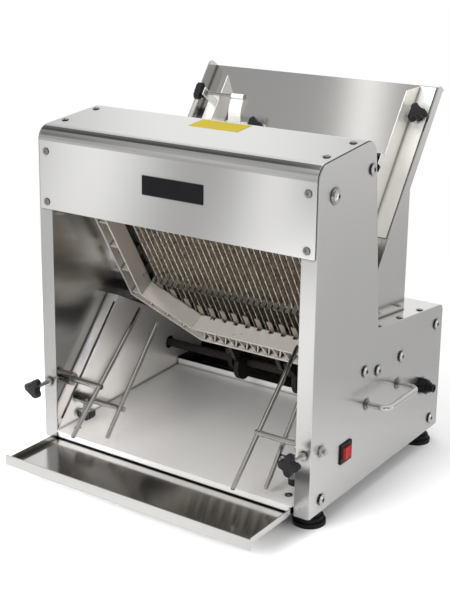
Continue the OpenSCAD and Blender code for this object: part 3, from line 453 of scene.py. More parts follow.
@dataclass(frozen=True)
class TurnedSteel:
    """Round or cast metal with an even, slightly worn surface."""

    name: str
    tone: Colour
    rough: float
    metal: float = 1.0
    grime: float = 0.12
    relief: float = 0.08
    grain: float = 400.0
    pore: float = 0.0004
    shade_reach: float = 0.0
    closed: float = SEAM_SHADE_CLOSED
    wear: float = 25.0
    worn_rough: Span = (0.06, -0.03)

    def material(self) -> bpy.types.Material:
        """Builds the finish and returns its material."""
        graph = Graph(self.name)
        wear = graph.noise(even(self.wear), WORN_DETAIL)
        shader = graph.add("ShaderNodeBsdfPrincipled", Metallic=self.metal)
        tone = graph.blend(wear, shade(self.tone, 1.0 - self.grime), self.tone)
        # Painted shade: where a reach is given, the colour darkens in seams and around heads
        if self.shade_reach > 0.0:
            tone = graph.paint_seam_shade(tone, self.shade_reach, self.closed)
        graph.join(tone, shader.inputs["Base Color"])
        graph.roughen(shader, wear, self.rough, self.worn_rough)
        graph.pores(shader, self.grain, self.relief, self.pore)
        return graph.close(shader)


@dataclass(frozen=True)
class Moulded:
    """Plastic, rubber, paint or near-black drive parts in painted shade, with a fine texture and a little
    dust.
    """

    name: str
    tone: Colour
    rough: float
    dust: float = 0.02
    relief: float = 0.1
    grain: float = 900.0
    pore: float = 0.0003
    gloss: float = 0.5
    film: float = 30.0
    film_rough: Span = (-0.04, 0.06)

    def material(self) -> bpy.types.Material:
        """Builds the finish and returns its material."""
        graph = Graph(self.name)
        film = graph.noise(even(self.film), WORN_DETAIL)
        dusty = tuple(part + self.dust for part in self.tone)
        shader = graph.add("ShaderNodeBsdfPrincipled", Specular_IOR_Level=self.gloss)
        graph.join(graph.blend(film, self.tone, dusty), shader.inputs["Base Color"])
        graph.roughen(shader, film, self.rough, self.film_rough)
        graph.pores(shader, self.grain, self.relief, self.pore)
        return graph.close(shader)


@dataclass(frozen=True)
class FramePlane:
    """The leaning face of the front blade frame, and the places below and behind it."""

    lean: float = 31.4
    y: float = 92.4
    z: float = 406.1

    def facing(self) -> Vector:
        """Returns the direction that the face looks in."""
        turn = math.radians(self.lean)
        return Vector((0.0, -math.cos(turn), -math.sin(turn)))

    def upward(self) -> Vector:
        """Returns the direction up along the face."""
        turn = math.radians(self.lean)
        return Vector((0.0, -math.sin(turn), math.cos(turn)))

    def behind(self, depth: float) -> float:
        """Returns where a depth behind the face, in millimetres, lies along its direction."""
        return self.facing().dot(spot(0.0, self.y, self.z)) - depth * MM

    def below(self, drop: float) -> float:
        """Returns where a drop down the face, in millimetres, lies along its direction."""
        return self.upward().dot(spot(0.0, self.y, self.z)) - drop * MM


FRAME_PLANE = FramePlane()


@dataclass(frozen=True)
class GroundBlade:
    """Blade steel: dull flat sides, a bright ground edge to the front, and less light low down."""

    name: str
    side: Colour = (0.34, 0.285, 0.22)
    edge: Colour = (0.8, 0.74, 0.65)
    rough: float = 0.34
    metal: float = 0.45
    edge_depth: float = 39.4
    edge_soft: float = 1.0
    shade_start: float = 160.0
    shade_end: float = 220.0
    shadow: float = 0.58
    speck: float = 170.0
    speck_levels: Span = (0.35, 1.6)
    wear: float = 60.0
    worn_rough: Span = (-0.05, 0.08)
    grain: float = 300.0
    relief: float = 0.06
    pore: float = 0.0003

    def material(self) -> bpy.types.Material:
        """Builds the finish and returns its material."""
        graph = Graph(self.name)
        back = FRAME_PLANE.behind(self.edge_depth + self.edge_soft)
        front = FRAME_PLANE.behind(self.edge_depth - self.edge_soft)
        ground = graph.reach(FRAME_PLANE.facing(), (back, front))
        heights = (FRAME_PLANE.below(self.shade_end), FRAME_PLANE.below(self.shade_start))
        lit = graph.reach(FRAME_PLANE.upward(), heights, (self.shadow, 1.0))
        specks = graph.span(graph.noise(even(self.speck), FINE_DETAIL), *self.speck_levels)
        shader = graph.add("ShaderNodeBsdfPrincipled", Metallic=self.metal)
        tone = graph.scale(graph.blend(ground, self.side, self.edge), specks)
        graph.join(graph.scale(tone, lit), shader.inputs["Base Color"])
        wear = graph.noise(even(self.wear), WORN_DETAIL)
        graph.roughen(shader, wear, self.rough, self.worn_rough)
        graph.pores(shader, self.grain, self.relief, self.pore)
        return graph.close(shader)


@dataclass(frozen=True)
class CastFrame:
    """Cast metal with painted shade behind the front frame's casting and a dark painted shadow below its
    bar.
    """

    name: str
    tone: Colour = (0.68, 0.64, 0.595)
    shadowed: Colour = (0.25, 0.22, 0.19)
    rough: float = 0.3
    metal: float = 0.6
    depth: float = 35.2
    drop: float = 305.5
    shadow: float = 0.06
    soft: float = 0.4
    shade_reach: float = 0.006
    wear: float = 25.0
    worn_rough: Span = (0.06, -0.03)
    grain: float = 400.0
    relief: float = 0.06
    pore: float = 0.0004

    def material(self) -> bpy.types.Material:
        """Builds the finish and returns its material."""
        graph = Graph(self.name)
        # Painted shade: darker behind the front frame's face, and a near-black painted shadow below its
        # bar
        depths = (FRAME_PLANE.behind(self.depth + self.soft), FRAME_PLANE.behind(self.depth - self.soft))
        heights = (FRAME_PLANE.below(self.drop + self.soft), FRAME_PLANE.below(self.drop - self.soft))
        front = graph.reach(FRAME_PLANE.facing(), depths)
        lit = graph.reach(FRAME_PLANE.upward(), heights, (self.shadow, 1.0))
        shader = graph.add("ShaderNodeBsdfPrincipled", Metallic=self.metal)
        tone = graph.scale(graph.blend(front, self.shadowed, self.tone), lit)
        # Painted shade in seams and around heads
        graph.join(graph.paint_seam_shade(tone, self.shade_reach), shader.inputs["Base Color"])
        wear = graph.noise(even(self.wear), WORN_DETAIL)
        graph.roughen(shader, wear, self.rough, self.worn_rough)
        graph.pores(shader, self.grain, self.relief, self.pore)
        return graph.close(shader)


@dataclass(frozen=True)
class KnobOnStud:
    """Black plastic with a steel stud beyond a place along one axis."""

    name: str
    axis: Axis
    start: float
    tone: Colour = (0.012, 0.012, 0.013)
    steel: Colour = (0.5, 0.49, 0.48)
    rough: float = 0.33
    gloss: float = 0.12
    soft: float = 0.2
    film: float = 30.0
    film_rough: Span = (-0.06, 0.06)

    def material(self) -> bpy.types.Material:
        """Builds the finish and returns its material."""
        graph = Graph(self.name)
        outward = Vector((0.0, 0.0, 0.0))
        outward[self.axis.value] = 1.0
        start = outward.dot(spot(self.start, self.start, self.start))
        stud = graph.reach(outward, (start - self.soft * MM, start + self.soft * MM))
        shader = graph.add("ShaderNodeBsdfPrincipled", Specular_IOR_Level=self.gloss)
        graph.join(graph.blend(stud, self.tone, self.steel), shader.inputs["Base Color"])
        graph.join(stud, shader.inputs["Metallic"])
        film = graph.noise(even(self.film), WORN_DETAIL)
        graph.roughen(shader, film, self.rough, self.film_rough)
        return graph.close(shader)


Finish = BrushedSteel | TurnedSteel | Moulded | GroundBlade | CastFrame | KnobOnStud

ACROSS_SHEET = BrushedSteel("sheet_across", closed=0.48)
SIDE_SHEET = BrushedSteel("sheet_side", (0.585, 0.58, 0.57), 0.2, Axis.UPRIGHT, closed=0.48)
GUARD_SHEET = BrushedSteel("sheet_guard", (0.8, 0.78, 0.75), 0.28, Axis.UPRIGHT, metal=0.6)
CHUTE_SHEET = BrushedSteel("sheet_chute", (0.665, 0.65, 0.63), 0.13, spread=0.85)
GUIDE_SHEET = BrushedSteel("sheet_guide", (0.82, 0.8, 0.765), 0.22, metal=0.4)
TRAY_SHEET = BrushedSteel("sheet_tray", (0.6, 0.59, 0.575), 0.13)
PLATE_SHEET = BrushedSteel("sheet_plate", (0.84, 0.825, 0.805), 0.34, metal=0.6, spread=0.9)
REAR_SHEET = BrushedSteel("sheet_rear", (0.5, 0.495, 0.485), 0.24)
# Painted shade: the base plate is near black to stand for the unlit drive cavity
INNER_SHADE_SHEET = TurnedSteel("sheet_inner_painted_shade", (0.05, 0.046, 0.043), 0.5)
BRIGHT_STEEL = TurnedSteel("bright_round", (0.55, 0.54, 0.53), 0.07, shade_reach=0.01)
SCREW_STEEL = TurnedSteel("screw_steel", (0.3, 0.294, 0.288), 0.08, relief=0.02, shade_reach=0.005, closed=0.5)
BOLT_STEEL = TurnedSteel("bolt_steel", (0.48, 0.47, 0.46), 0.08, relief=0.02, shade_reach=0.006, closed=0.6)
ROD_STEEL = TurnedSteel("rod_steel", (0.52, 0.505, 0.49), 0.1)
BLADE_STEEL = GroundBlade("blade_steel")
COMB_STEEL = TurnedSteel("comb_steel", (0.6, 0.575, 0.54), 0.25)
HOOK_STEEL = TurnedSteel("hook_steel", (0.34, 0.32, 0.29), 0.3)
FRAME_CAST = CastFrame("frame_cast")
# Painted shade: the drive parts are near black to stand for the unlit drive cavity
DRIVE_SHADE = Moulded("dark_iron", (0.011, 0.009, 0.008), 0.6, dust=0.006, gloss=0.1)
# Black paint, kept near black also as painted shade of the drive cavity
MOTOR_PAINT_AND_SHADE = TurnedSteel("motor_paint", (0.04, 0.04, 0.042), 0.55, metal=0.0)
KNOB_PLASTIC = Moulded("knob_plastic_black", (0.012, 0.012, 0.013), 0.28, dust=0.003, gloss=0.12)
UPPER_KNOB = KnobOnStud("upper_knob_on_stud", Axis.DEPTH, -38.0)
LOWER_KNOB = KnobOnStud("lower_knob_on_stud", Axis.UPRIGHT, 42.0)
SWITCH_BLACK = Moulded("switch_black_plastic", (0.008, 0.008, 0.009), 0.3, dust=0.004, gloss=0.12)
SWITCH_RED = Moulded("switch_red_plastic", (0.36, 0.012, 0.016), 0.25, dust=0.006, gloss=0.12)
RUBBER = Moulded("foot_rubber", (0.006, 0.006, 0.006), 0.5, dust=0.003, gloss=0.12)
PLATE_BLACK = Moulded("plate_black", (0.005, 0.005, 0.006), 0.4, dust=0.002, gloss=0.04)
STICKER_YELLOW = Moulded("sticker_yellow", (0.32, 0.25, 0.012), 0.5, dust=0.006, gloss=0.08)

DRIVE_NODES = (
    "guide_rods",
    "rod_brackets",
    "front_con_rods",
    "rear_con_rods",
    "crankshaft",
    "bearing_blocks",
    "driven_pulley",
    "motor_pulley",
    "motor_shaft",
    "motor_bracket",
)
PLAIN_KNOBS = ("flap_knob", "left_guide_knob", "right_guide_knob", "side_guide_knob")
UPPER_KNOBS = ("left_upper_knob", "right_upper_knob")
LOWER_KNOBS = ("left_lower_knob", "right_lower_knob")

NODE_FINISHES: tuple[tuple[Finish, tuple[str, ...]], ...] = (
    (ACROSS_SHEET, ("hood", "rear_top_cover")),
    (SIDE_SHEET, ("left_side_panel", "right_side_panel")),
    (GUARD_SHEET, ("left_guard", "right_guard")),
    (CHUTE_SHEET, ("chute", "chute_support")),
    (GUIDE_SHEET, ("left_infeed_guide", "right_infeed_guide", "loaf_flap")),
    (TRAY_SHEET, ("crumb_tray",)),
    (PLATE_SHEET, ("receiving_plate",)),
    (REAR_SHEET, ("rear_panel",)),
    (INNER_SHADE_SHEET, ("base_plate",)),
    (BRIGHT_STEEL, ("left_handle", "right_handle", "flap_rod", "column_clamps", "guard_clamps")),
    (SCREW_STEEL, ("hood_screws", "cover_screws", "plate_screws")),
    (BOLT_STEEL, ("side_bolts",)),
    (ROD_STEEL, ("left_upper_guide", "right_upper_guide", "left_lower_guide", "right_lower_guide")),
    (BLADE_STEEL, ("front_blades", "rear_blades")),
    (COMB_STEEL, ("chute_comb",)),
    (FRAME_CAST, ("front_blade_frame", "rear_blade_frame")),
    (HOOK_STEEL, ("front_frame_fittings", "rear_frame_fittings")),
    (DRIVE_SHADE, DRIVE_NODES),
    (MOTOR_PAINT_AND_SHADE, ("motor",)),
    (KNOB_PLASTIC, PLAIN_KNOBS),
    (UPPER_KNOB, UPPER_KNOBS),
    (LOWER_KNOB, LOWER_KNOBS),
    (SWITCH_BLACK, ("switch_housing", "cable_gland")),
    (SWITCH_RED, ("switch_rocker",)),
    (RUBBER, ("rubber_feet", "drive_belt")),
)


class Dresser:
    """Gives pieces their finishes, each finish built once."""

    def __init__(self) -> None:
        """Starts with no finish built."""
        self.built: dict[str, bpy.types.Material] = {}

    def material(self, finish: Finish) -> bpy.types.Material:
        """Returns the finish's material, built on first use."""
        if finish.name not in self.built:
            self.built[finish.name] = finish.material()
        return self.built[finish.name]

    def dress(self, piece: bpy.types.Object, finish: Finish) -> None:
        """Puts a finish on every material slot of a piece.

        Args:
            piece: the piece.
            finish: the finish.
        """
        if not piece.material_slots:
            piece.data.materials.append(None)
        for slot in piece.material_slots:
            slot.material = self.material(finish)

    def dress_nodes(self) -> None:
        """Dresses all nodes of the frame."""
        for finish, names in NODE_FINISHES:
            for name in names:
                self.dress(frame["nodes"][name], finish)
                LOG.info("%s wears %s", name, finish.name)


def start_piece(name: str) -> bpy.types.Object:
    """Names the new primitive and puts its place and size into its mesh.

    Args:
        name: the piece's name.

    Returns:
        The active object.
    """
    piece = bpy.context.active_object
    piece.name = name
    bpy.ops.object.transform_apply(location=True, rotation=True, scale=True)
    return piece


def copy_node(node: str, name: str) -> bpy.types.Object:
    """Copies a node's shape into a new piece and merges its points.

    Args:
        node: the node's name.
        name: the new piece's name.

    Returns:
        The new piece, selected and active.
    """
    bpy.ops.object.select_all(action="DESELECT")
    source = frame["nodes"][node]
    piece = bpy.data.objects.new(name, source.data.copy())
    bpy.context.scene.collection.objects.link(piece)
    piece.select_set(True)
    bpy.context.view_layer.objects.active = piece
    bpy.ops.object.mode_set(mode="EDIT")
    bpy.ops.mesh.select_all(action="SELECT")
    bpy.ops.mesh.remove_doubles(threshold=MERGE_GAP * MM)
    bpy.ops.object.mode_set(mode="OBJECT")
    return piece


@dataclass(frozen=True)
class ThinPlate:
    """A thin plate with its edges broken."""

    name: str
    middle: Vector
    size: Vector
    slope: float
    edge: float
    segments: int

    def model(self) -> bpy.types.Object:
        """Models the plate and returns it."""
        bpy.ops.object.select_all(action="DESELECT")
        turn = (math.radians(self.slope), 0.0, 0.0)
        bpy.ops.mesh.primitive_cube_add(size=1.0, location=self.middle, rotation=turn, scale=self.size)
        piece = start_piece(self.name)
        bpy.ops.object.mode_set(mode="EDIT")
        bpy.ops.mesh.select_all(action="SELECT")
        bpy.ops.mesh.bevel(offset=self.edge * MM, segments=self.segments, affect="EDGES")
        bpy.ops.object.mode_set(mode="OBJECT")
        return piece


@dataclass
class BadgePlate:
    """A bare black plate on the front of the hood."""

    left: float = -52.0
    right: float = 70.0
    low: float = 487.0
    high: float = 519.0
    thick: float = 1.2
    front: float = -1.5
    edge: float = 0.3
    segments: int = 2

    def build(self, dresser: Dresser) -> bpy.types.Object:
        """Models the plate and dresses it.

        Args:
            dresser: gives the plate its finish.

        Returns:
            The plate.
        """
        middle_x = (self.left + self.right) / 2
        middle = spot(middle_x, self.front - self.thick / 2, (self.low + self.high) / 2)
        size = Vector((self.right - self.left, self.thick, self.high - self.low)) * MM
        piece = ThinPlate("badge_plate", middle, size, 0.0, self.edge, self.segments).model()
        dresser.dress(piece, PLATE_BLACK)
        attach(piece, "casing")
        return piece


@dataclass
class TopSticker:
    """A plain yellow sticker on the sloping top of the hood."""

    left: float = -40.0
    right: float = 60.0
    front: float = 108.0
    rear: float = 152.0
    thick: float = 0.3
    slope: float = 6.0
    rise: float = 575.5
    edge: float = 0.08
    segments: int = 1

    def build(self, dresser: Dresser) -> bpy.types.Object:
        """Models the sticker and dresses it.

        Args:
            dresser: gives the sticker its finish.

        Returns:
            The sticker.
        """
        middle_y = (self.front + self.rear) / 2
        height = self.rise + middle_y * math.tan(math.radians(self.slope)) + self.thick / 2
        middle = spot((self.left + self.right) / 2, middle_y, height)
        size = Vector((self.right - self.left, self.rear - self.front, self.thick)) * MM
        piece = ThinPlate("top_sticker", middle, size, self.slope, self.edge, self.segments).model()
        dresser.dress(piece, STICKER_YELLOW)
        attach(piece, "casing")
        return piece


class Recess(Enum):
    """The shape that a driver fits in a head."""

    CROSS = "cross"
    HEXAGON = "hexagon"


@dataclass
class RecessedHeads:
    """Screw or bolt heads with a driver recess cut into each."""

    node: str
    tops: tuple[Head, ...]
    recess: Recess
    reach: float
    depth: float
    width: float = 1.4
    finish: Finish = SCREW_STEEL

    def cutter(self) -> bpy.types.Object:
        """Models the recess at the origin, pointing up, and returns it."""
        bpy.ops.object.select_all(action="DESELECT")
        tall = 2 * self.depth
        if self.recess is Recess.HEXAGON:
            bpy.ops.mesh.primitive_cylinder_add(vertices=6, radius=self.reach * MM, depth=tall * MM)
            return start_piece("recess")
        size = Vector((self.width, self.width, tall)) * MM
        bpy.ops.mesh.primitive_cube_add(size=1.0, scale=size)
        piece = start_piece("recess")
        for side in (Vector((1, 0, 0)), Vector((-1, 0, 0)), Vector((0, 1, 0)), Vector((0, -1, 0))):
            self.pull_arm(piece, side)
        return piece

    def pull_arm(self, piece: bpy.types.Object, side: Vector) -> None:
        """Extrudes one arm of the cross.

        Args:
            piece: the recess, which is active.
            side: the direction of the arm.
        """
        arm = (self.reach - self.width / 2) * MM
        bpy.ops.object.mode_set(mode="EDIT")
        mesh = bmesh.from_edit_mesh(piece.data)
        for face in mesh.faces:
            near = face.calc_center_median().dot(side) < self.width * MM
            face.select = near and face.normal.dot(side) > SAME_WAY
        bmesh.update_edit_mesh(piece.data)
        bpy.ops.mesh.extrude_region_move(TRANSFORM_OT_translate={"value": side * arm})
        bpy.ops.mesh.select_all(action="DESELECT")
        bpy.ops.object.mode_set(mode="OBJECT")

    def all_cuts(self) -> bpy.types.Object:
        """Copies the recess to every head and returns the copies as one object."""
        first = self.cutter()
        cuts = []
        for top, outward in self.tops:
            cut = bpy.data.objects.new("recess_copy", first.data.copy())
            bpy.context.scene.collection.objects.link(cut)
            turn = outward.to_track_quat("Z", "Y").to_matrix().to_4x4()
            cut.data.transform(Matrix.Translation(top) @ turn)
            cuts.append(cut)
        bpy.data.objects.remove(first)
        bpy.ops.object.select_all(action="DESELECT")
        for cut in cuts:
            cut.select_set(True)
        bpy.context.view_layer.objects.active = cuts[0]
        bpy.ops.object.join()
        return cuts[0]

    def build(self, dresser: Dresser) -> bpy.types.Object:
        """Cuts a recess into each head and dresses the piece.

        Args:
            dresser: gives the piece its finish.

        Returns:
            The piece that stands for the node.
        """
        cuts = self.all_cuts()
        piece = copy_node(self.node, self.node + "_recessed")
        modifier = piece.modifiers.new("recess", "BOOLEAN")
        modifier.operation = "DIFFERENCE"
        modifier.solver = "EXACT"
        modifier.object = cuts
        bpy.ops.object.modifier_apply(modifier="recess")
        bpy.data.objects.remove(cuts)
        bpy.ops.object.shade_smooth_by_angle(angle=math.radians(HEAD_ANGLE))
        dresser.dress(piece, self.finish)
        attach(piece, body_of(frame["nodes"][self.node])[0])
        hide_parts(self.node)
        return piece


@dataclass
class Fasteners:
    """The places of all screws and bolts, by their heads."""

    hood_x: float = 262.0
    hood_front: float = -1.5
    hood_heights: tuple[float, ...] = (444.0, 533.0)
    crown_depths: tuple[float, ...] = (50.0, 133.0)
    crown_height: float = 574.0
    crown_slope: float = 6.0
    crown_run: float = 100.0
    sheet: float = 1.5
    screw_height: float = 3.0
    screw_reach: float = 3.2
    screw_recess: float = 1.6
    cover_x: float = 266.0
    cover_depths: tuple[float, ...] = (240.0, 322.0, 403.0)
    cover_front: Point = (0.0, 214.0, 263.0)
    cover_rear: Point = (0.0, 473.0, 238.0)
    cover_drop: float = 3.0
    plate_x: float = 226.0
    plate_depth: float = 26.0
    plate_front: Point = (0.0, -4.0, 17.0)
    plate_rear: Point = (0.0, 366.0, 33.0)
    side_x: float = 280.0
    bolt_radius: float = 9.0
    bolt_share: float = 0.6
    bolt_reach: float = 3.6
    bolt_recess: float = 3.0
    bolts: tuple[Span, ...] = (
        (167.0, 544.0),
        (446.0, 206.0),
        (305.0, 186.0),
        (171.0, 200.0),
        (218.0, 187.0),
        (441.0, 22.0),
        (37.0, 22.0),
    )
    big_bolt: Span = (48.0, 523.0)
    big_radius: float = 11.0

    def slope_top(self, x: float, y: float, low: Point, high: Point, drop: float = 0.0) -> Head:
        """Finds the top of a screw on a slope.

        Args:
            x: millimetres to the right of the middle.
            y: millimetres behind the front of the columns.
            low: a place on the slope.
            high: another place on the slope.
            drop: how far the screw's foot lies below the slope, in millimetres.

        Returns:
            The top of the screw and the direction that it faces.
        """
        fall = (high[2] - low[2]) / (high[1] - low[1])
        turn = math.atan(fall)
        outward = Vector((0.0, -math.sin(turn), math.cos(turn)))
        foot = spot(x, y, low[2] + (y - low[1]) * fall - drop)
        return foot + outward * self.screw_height * MM, outward

    def hood_tops(self, side: float) -> list[Head]:
        """Finds the hood's screws on one side, -1 for left and 1 for right."""
        x = side * self.hood_x
        front = self.hood_front - self.screw_height
        tops = [(spot(x, front, z), Vector((0, -1, 0))) for z in self.hood_heights]
        turn = math.radians(self.crown_slope)
        lifted = self.crown_height + self.sheet / math.cos(turn)
        low = (0.0, 0.0, lifted)
        high = (0.0, self.crown_run, lifted + self.crown_run * math.tan(turn))
        tops.extend(self.slope_top(x, y, low, high) for y in self.crown_depths)
        return tops

    def bolt_tops(self, side: float) -> list[Head]:
        """Finds the bolts on one side, -1 for left and 1 for right."""
        outward = Vector((side, 0.0, 0.0))
        reach = self.side_x + self.bolt_radius * self.bolt_share
        tops = [(spot(side * reach, y, z), outward) for y, z in self.bolts]
        reach = self.side_x + self.sheet + self.big_radius * self.bolt_share
        tops.append((spot(side * reach, *self.big_bolt), outward))
        return tops

    def heads(self) -> tuple[RecessedHeads, ...]:
        """Returns the heads of every fastener node."""
        hood, cover, plate, sides = [], [], [], []
        for side in (-1.0, 1.0):
            hood.extend(self.hood_tops(side))
            for y in self.cover_depths:
                x = side * self.cover_x
                cover.append(self.slope_top(x, y, self.cover_front, self.cover_rear, self.cover_drop))
            x = side * self.plate_x
            plate.append(self.slope_top(x, self.plate_depth, self.plate_front, self.plate_rear))
            sides.extend(self.bolt_tops(side))
        cross = (Recess.CROSS, self.screw_reach, self.screw_recess)
        hexagon = (Recess.HEXAGON, self.bolt_reach, self.bolt_recess)
        return (
            RecessedHeads("hood_screws", tuple(hood), *cross),
            RecessedHeads("cover_screws", tuple(cover), *cross),
            RecessedHeads("plate_screws", tuple(plate), *cross),
            RecessedHeads("side_bolts", tuple(sides), *hexagon, finish=BOLT_STEEL),
        )


@dataclass
class RoundedKnob:
    """A star knob with its lobes rounded over."""

    node: str
    finish: Finish
    grain: float = 0.8
    pull: float = 0.5
    rounds: int = 8

    def build(self, dresser: Dresser) -> bpy.types.Object:
        """Rounds a copy of the knob and dresses it.

        Args:
            dresser: gives the knob its finish.

        Returns:
            The piece that stands for the node.
        """
        piece = copy_node(self.node, self.node + "_rounded")
        grid = piece.modifiers.new("grid", "REMESH")
        grid.mode = "VOXEL"
        grid.voxel_size = self.grain * MM
        bpy.ops.object.modifier_apply(modifier="grid")
        soft = piece.modifiers.new("soft", "SMOOTH")
        soft.factor = self.pull
        soft.iterations = self.rounds
        bpy.ops.object.modifier_apply(modifier="soft")
        bpy.ops.object.shade_smooth_by_angle(angle=math.radians(KNOB_ANGLE))
        dresser.dress(piece, self.finish)
        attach(piece, body_of(frame["nodes"][self.node])[0])
        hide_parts(self.node)
        return piece


KNOBS: tuple[RoundedKnob, ...] = (
    *(RoundedKnob(node, KNOB_PLASTIC) for node in PLAIN_KNOBS),
    *(RoundedKnob(node, UPPER_KNOB) for node in UPPER_KNOBS),
    *(RoundedKnob(node, LOWER_KNOB) for node in LOWER_KNOBS),
)


@dataclass
class Viewpoint:
    """The camera, at the picture's angle and distance."""

    azimuth: float = 34.20
    elevation: float = 14.93
    roll: float = 0.75
    distance: float = 2.268
    across: float = -0.076
    upward: float = 0.020
    pivot: Point = (0.0, 300.0, 350.0)
    focal_rows: float = 1234.0
    rows: float = 600.0
    axis_row: float = 230.0
    sensor: float = 36.0

    def build(self) -> bpy.types.Object:
        """Places the camera, makes it the scene's own and returns it."""
        turn = math.radians(self.azimuth)
        lift = math.radians(self.elevation)
        tip = math.radians(self.roll)
        level_back = Vector((math.sin(turn), -math.cos(turn), 0.0))
        back = level_back * math.cos(lift) + Vector((0.0, 0.0, math.sin(lift)))
        level = Vector((math.cos(turn), math.sin(turn), 0.0))
        above = back.cross(level)
        right = level * math.cos(tip) + above * math.sin(tip)
        upper = above * math.cos(tip) - level * math.sin(tip)
        data = bpy.data.cameras.new("photo_camera")
        data.sensor_width = self.sensor
        data.lens = self.focal_rows * self.sensor / self.rows
        data.shift_y = (self.axis_row - self.rows / 2) / self.rows
        camera = bpy.data.objects.new("photo_camera", data)
        bpy.context.scene.collection.objects.link(camera)
        facing = Matrix((right, upper, back)).transposed().to_4x4()
        place = spot(*self.pivot) + right * self.across + upper * self.upward + back * self.distance
        camera.matrix_world = Matrix.Translation(place) @ facing
        bpy.context.scene.camera = camera
        return camera


@dataclass(frozen=True)
class DarkPatch:
    """A soft dark part of the room that the metal reflects."""

    direction: Point
    near: float
    far: float
    depth: float


@dataclass(frozen=True)
class StripLight:
    """A soft light in the room, by its place across and its heights. A negative gain darkens."""

    across: float
    half_width: float
    low: float
    high: float
    gain: float


@dataclass(frozen=True)
class Lamp:
    """A soft square lamp, aimed at the middle of the machine unless said."""

    name: str
    place: Point
    size: float
    power: float
    aim: Point = (0.0, 0.0, 0.3)
    beam: float = 180.0


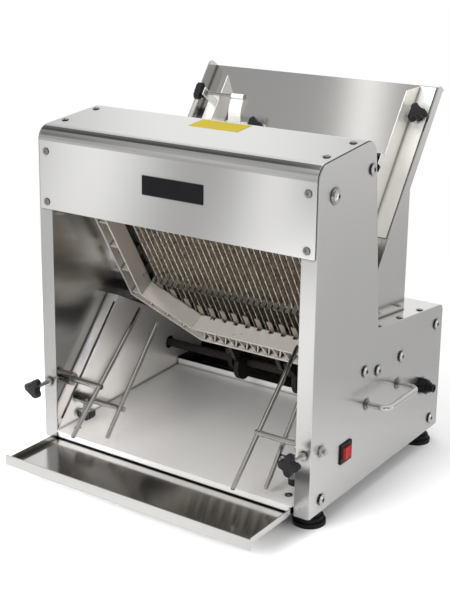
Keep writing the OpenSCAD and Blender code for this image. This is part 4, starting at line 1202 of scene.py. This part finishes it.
@dataclass
class Studio:
    """Floor, room and lamps."""

    floor_size: float = 6.0
    floor_tone: float = 0.92
    floor_fade: Span = (0.75, 1.5)
    mirror_trim: float = 0.7
    ambient: float = 0.62
    reflected: float = 1.08
    strip_soft: float = 0.25
    patches: tuple[DarkPatch, ...] = (
        DarkPatch((-0.50, -0.45, 0.74), 0.97, 0.8, 0.56),
        DarkPatch((-0.58, -0.78, -0.22), 0.95, 0.8, 0.55),
        DarkPatch((-0.6, 0.05, 0.8), 0.98, 0.9, 0.85),
        DarkPatch((0.42, 0.85, -0.30), 0.95, 0.5, 0.22),
        DarkPatch((0.41, 0.84, -0.35), 0.998, 0.975, 0.4),
        DarkPatch((0.75, -0.6, 0.3), 0.97, 0.6, 0.6),
    )
    strips: tuple[StripLight, ...] = (
        StripLight(-0.636, 0.066, -0.32, -0.05, 0.85),
        StripLight(-0.517, 0.031, -0.28, -0.05, 0.95),
        StripLight(-0.462, 0.12, -0.42, -0.26, 2.0),
        StripLight(-0.66, 0.08, -0.52, -0.28, 0.55),
        StripLight(-0.459, 0.024, 0.5, 0.97, 1.15),
        StripLight(0.78, 0.13, -0.55, 0.15, 1.7),
        StripLight(-0.68, 0.09, 0.15, 0.7, -0.35),
        StripLight(-0.43, 0.11, 0.15, 0.7, -0.3),
    )
    lamps: tuple[Lamp, ...] = (
        Lamp("key_lamp", (-1.7, -1.9, 2.3), 1.6, 40.0),
        Lamp("fill_lamp", (-0.5, -2.3, 1.1), 1.2, 90.0),
        Lamp("side_lamp", (2.6, -0.6, 1.7), 1.4, 24.0),
        Lamp("inner_lamp", (1.0, -1.5, 0.75), 0.12, 0.3, (-0.25, -0.1, 0.07), 9.0),
        Lamp("top_lamp", (0.0, 0.4, 2.7), 1.8, 30.0),
    )

    def build(self) -> None:
        """Builds the floor, the room and the lamps."""
        self.build_floor()
        self.build_room()
        for lamp in self.lamps:
            self.build_lamp(lamp)
        settings = bpy.context.scene.view_settings
        settings.view_transform = "Standard"

    def build_floor(self) -> None:
        """Lays a pale floor that fades out away from the machine, and sooner in reflections."""
        bpy.ops.object.select_all(action="DESELECT")
        bpy.ops.mesh.primitive_plane_add(size=self.floor_size, location=(0.0, 0.0, 0.0))
        floor = bpy.context.active_object
        floor.name = "studio_floor"
        graph = Graph("studio_floor")
        reach = graph.add("ShaderNodeVectorMath")
        reach.operation = "LENGTH"
        graph.join(graph.place(), reach.inputs[0])
        path = graph.add("ShaderNodeLightPath")
        trim = graph.combine("MULTIPLY", path.outputs["Is Glossy Ray"], self.mirror_trim)
        fade = graph.ramp(graph.combine("ADD", reach.outputs["Value"], trim), self.floor_fade, smooth=True)
        matt = graph.add("ShaderNodeBsdfDiffuse", Color=(*even(self.floor_tone), 1.0))
        clear = graph.add("ShaderNodeBsdfTransparent")
        floor.data.materials.append(graph.close(graph.mix(fade, matt, clear)))

    def build_room(self) -> None:
        """Lights the room: white behind the machine, dark patches and strip lights in reflections."""
        world = bpy.data.worlds.new("studio_room")
        bpy.context.scene.world = world
        world.use_nodes = True
        room = Nodes(world.node_tree)
        place = room.add("ShaderNodeTexCoord").outputs["Generated"]
        level = self.reflected
        for patch in self.patches:
            level = room.combine("MULTIPLY", self.patch_level(room, place, patch), level)
        for strip in self.strips:
            level = room.combine("ADD", self.strip_glow(room, place, strip), level)
        shown = room.add("ShaderNodeBackground", Color=WHITE)
        mirrored = room.add("ShaderNodeBackground", Color=WHITE)
        soft = room.add("ShaderNodeBackground", Color=WHITE, Strength=self.ambient)
        room.join(level, mirrored.inputs["Strength"])
        path = room.add("ShaderNodeLightPath")
        lit = room.mix(path.outputs["Is Glossy Ray"], soft, mirrored)
        seen = room.mix(path.outputs["Is Camera Ray"], lit, shown)
        output = room.add("ShaderNodeOutputWorld")
        room.join(seen.outputs[0], output.inputs["Surface"])

    def patch_level(self, room: Nodes, place: Socket, patch: DarkPatch) -> Socket:
        """Adds one dark patch to the room.

        Args:
            room: the room's node tree.
            place: the socket with the direction.
            patch: the patch.

        Returns:
            The socket with the light that is left.
        """
        nearness = room.along(place, Vector(patch.direction).normalized())
        return room.ramp(nearness, (patch.far, patch.near), (1.0, 1.0 - patch.depth), smooth=True)

    def strip_glow(self, room: Nodes, place: Socket, strip: StripLight) -> Socket:
        """Adds one strip light to the room.

        Args:
            room: the room's node tree.
            place: the socket with the direction.
            strip: the light.

        Returns:
            The socket with the light's level.
        """
        split = room.add("ShaderNodeSeparateXYZ")
        room.join(place, split.inputs[0])
        away = room.combine("SUBTRACT", split.outputs["X"], strip.across)
        aside = room.combine("ABSOLUTE", away)
        level = room.ramp(aside, (strip.half_width, 0.0), (0.0, strip.gain), smooth=True)
        rise = (strip.high - strip.low) * self.strip_soft
        for ends in ((strip.low, strip.low + rise), (strip.high, strip.high - rise)):
            level = room.combine("MULTIPLY", level, room.ramp(split.outputs["Z"], ends, smooth=True))
        return level

    def build_lamp(self, lamp: Lamp) -> None:
        """Hangs one lamp, which metal doesn't mirror.

        Args:
            lamp: the lamp.
        """
        data = bpy.data.lights.new(lamp.name, "AREA")
        data.energy = lamp.power
        data.size = lamp.size
        data.spread = math.radians(lamp.beam)
        light = bpy.data.objects.new(lamp.name, data)
        bpy.context.scene.collection.objects.link(light)
        light.location = lamp.place
        light.visible_glossy = False
        aim = Vector(lamp.aim) - light.location
        light.rotation_euler = aim.to_track_quat("-Z", "Y").to_euler()


def main() -> None:
    """Dresses the nodes, builds the small pieces and sets the studio."""
    dresser = Dresser()
    dresser.dress_nodes()
    for maker in (BadgePlate(), TopSticker(), *Fasteners().heads(), *KNOBS):
        piece = maker.build(dresser)
        LOG.info("%s modelled", piece.name)
    Studio().build()
    Viewpoint().build()


if __name__ == "__main__":
    main()
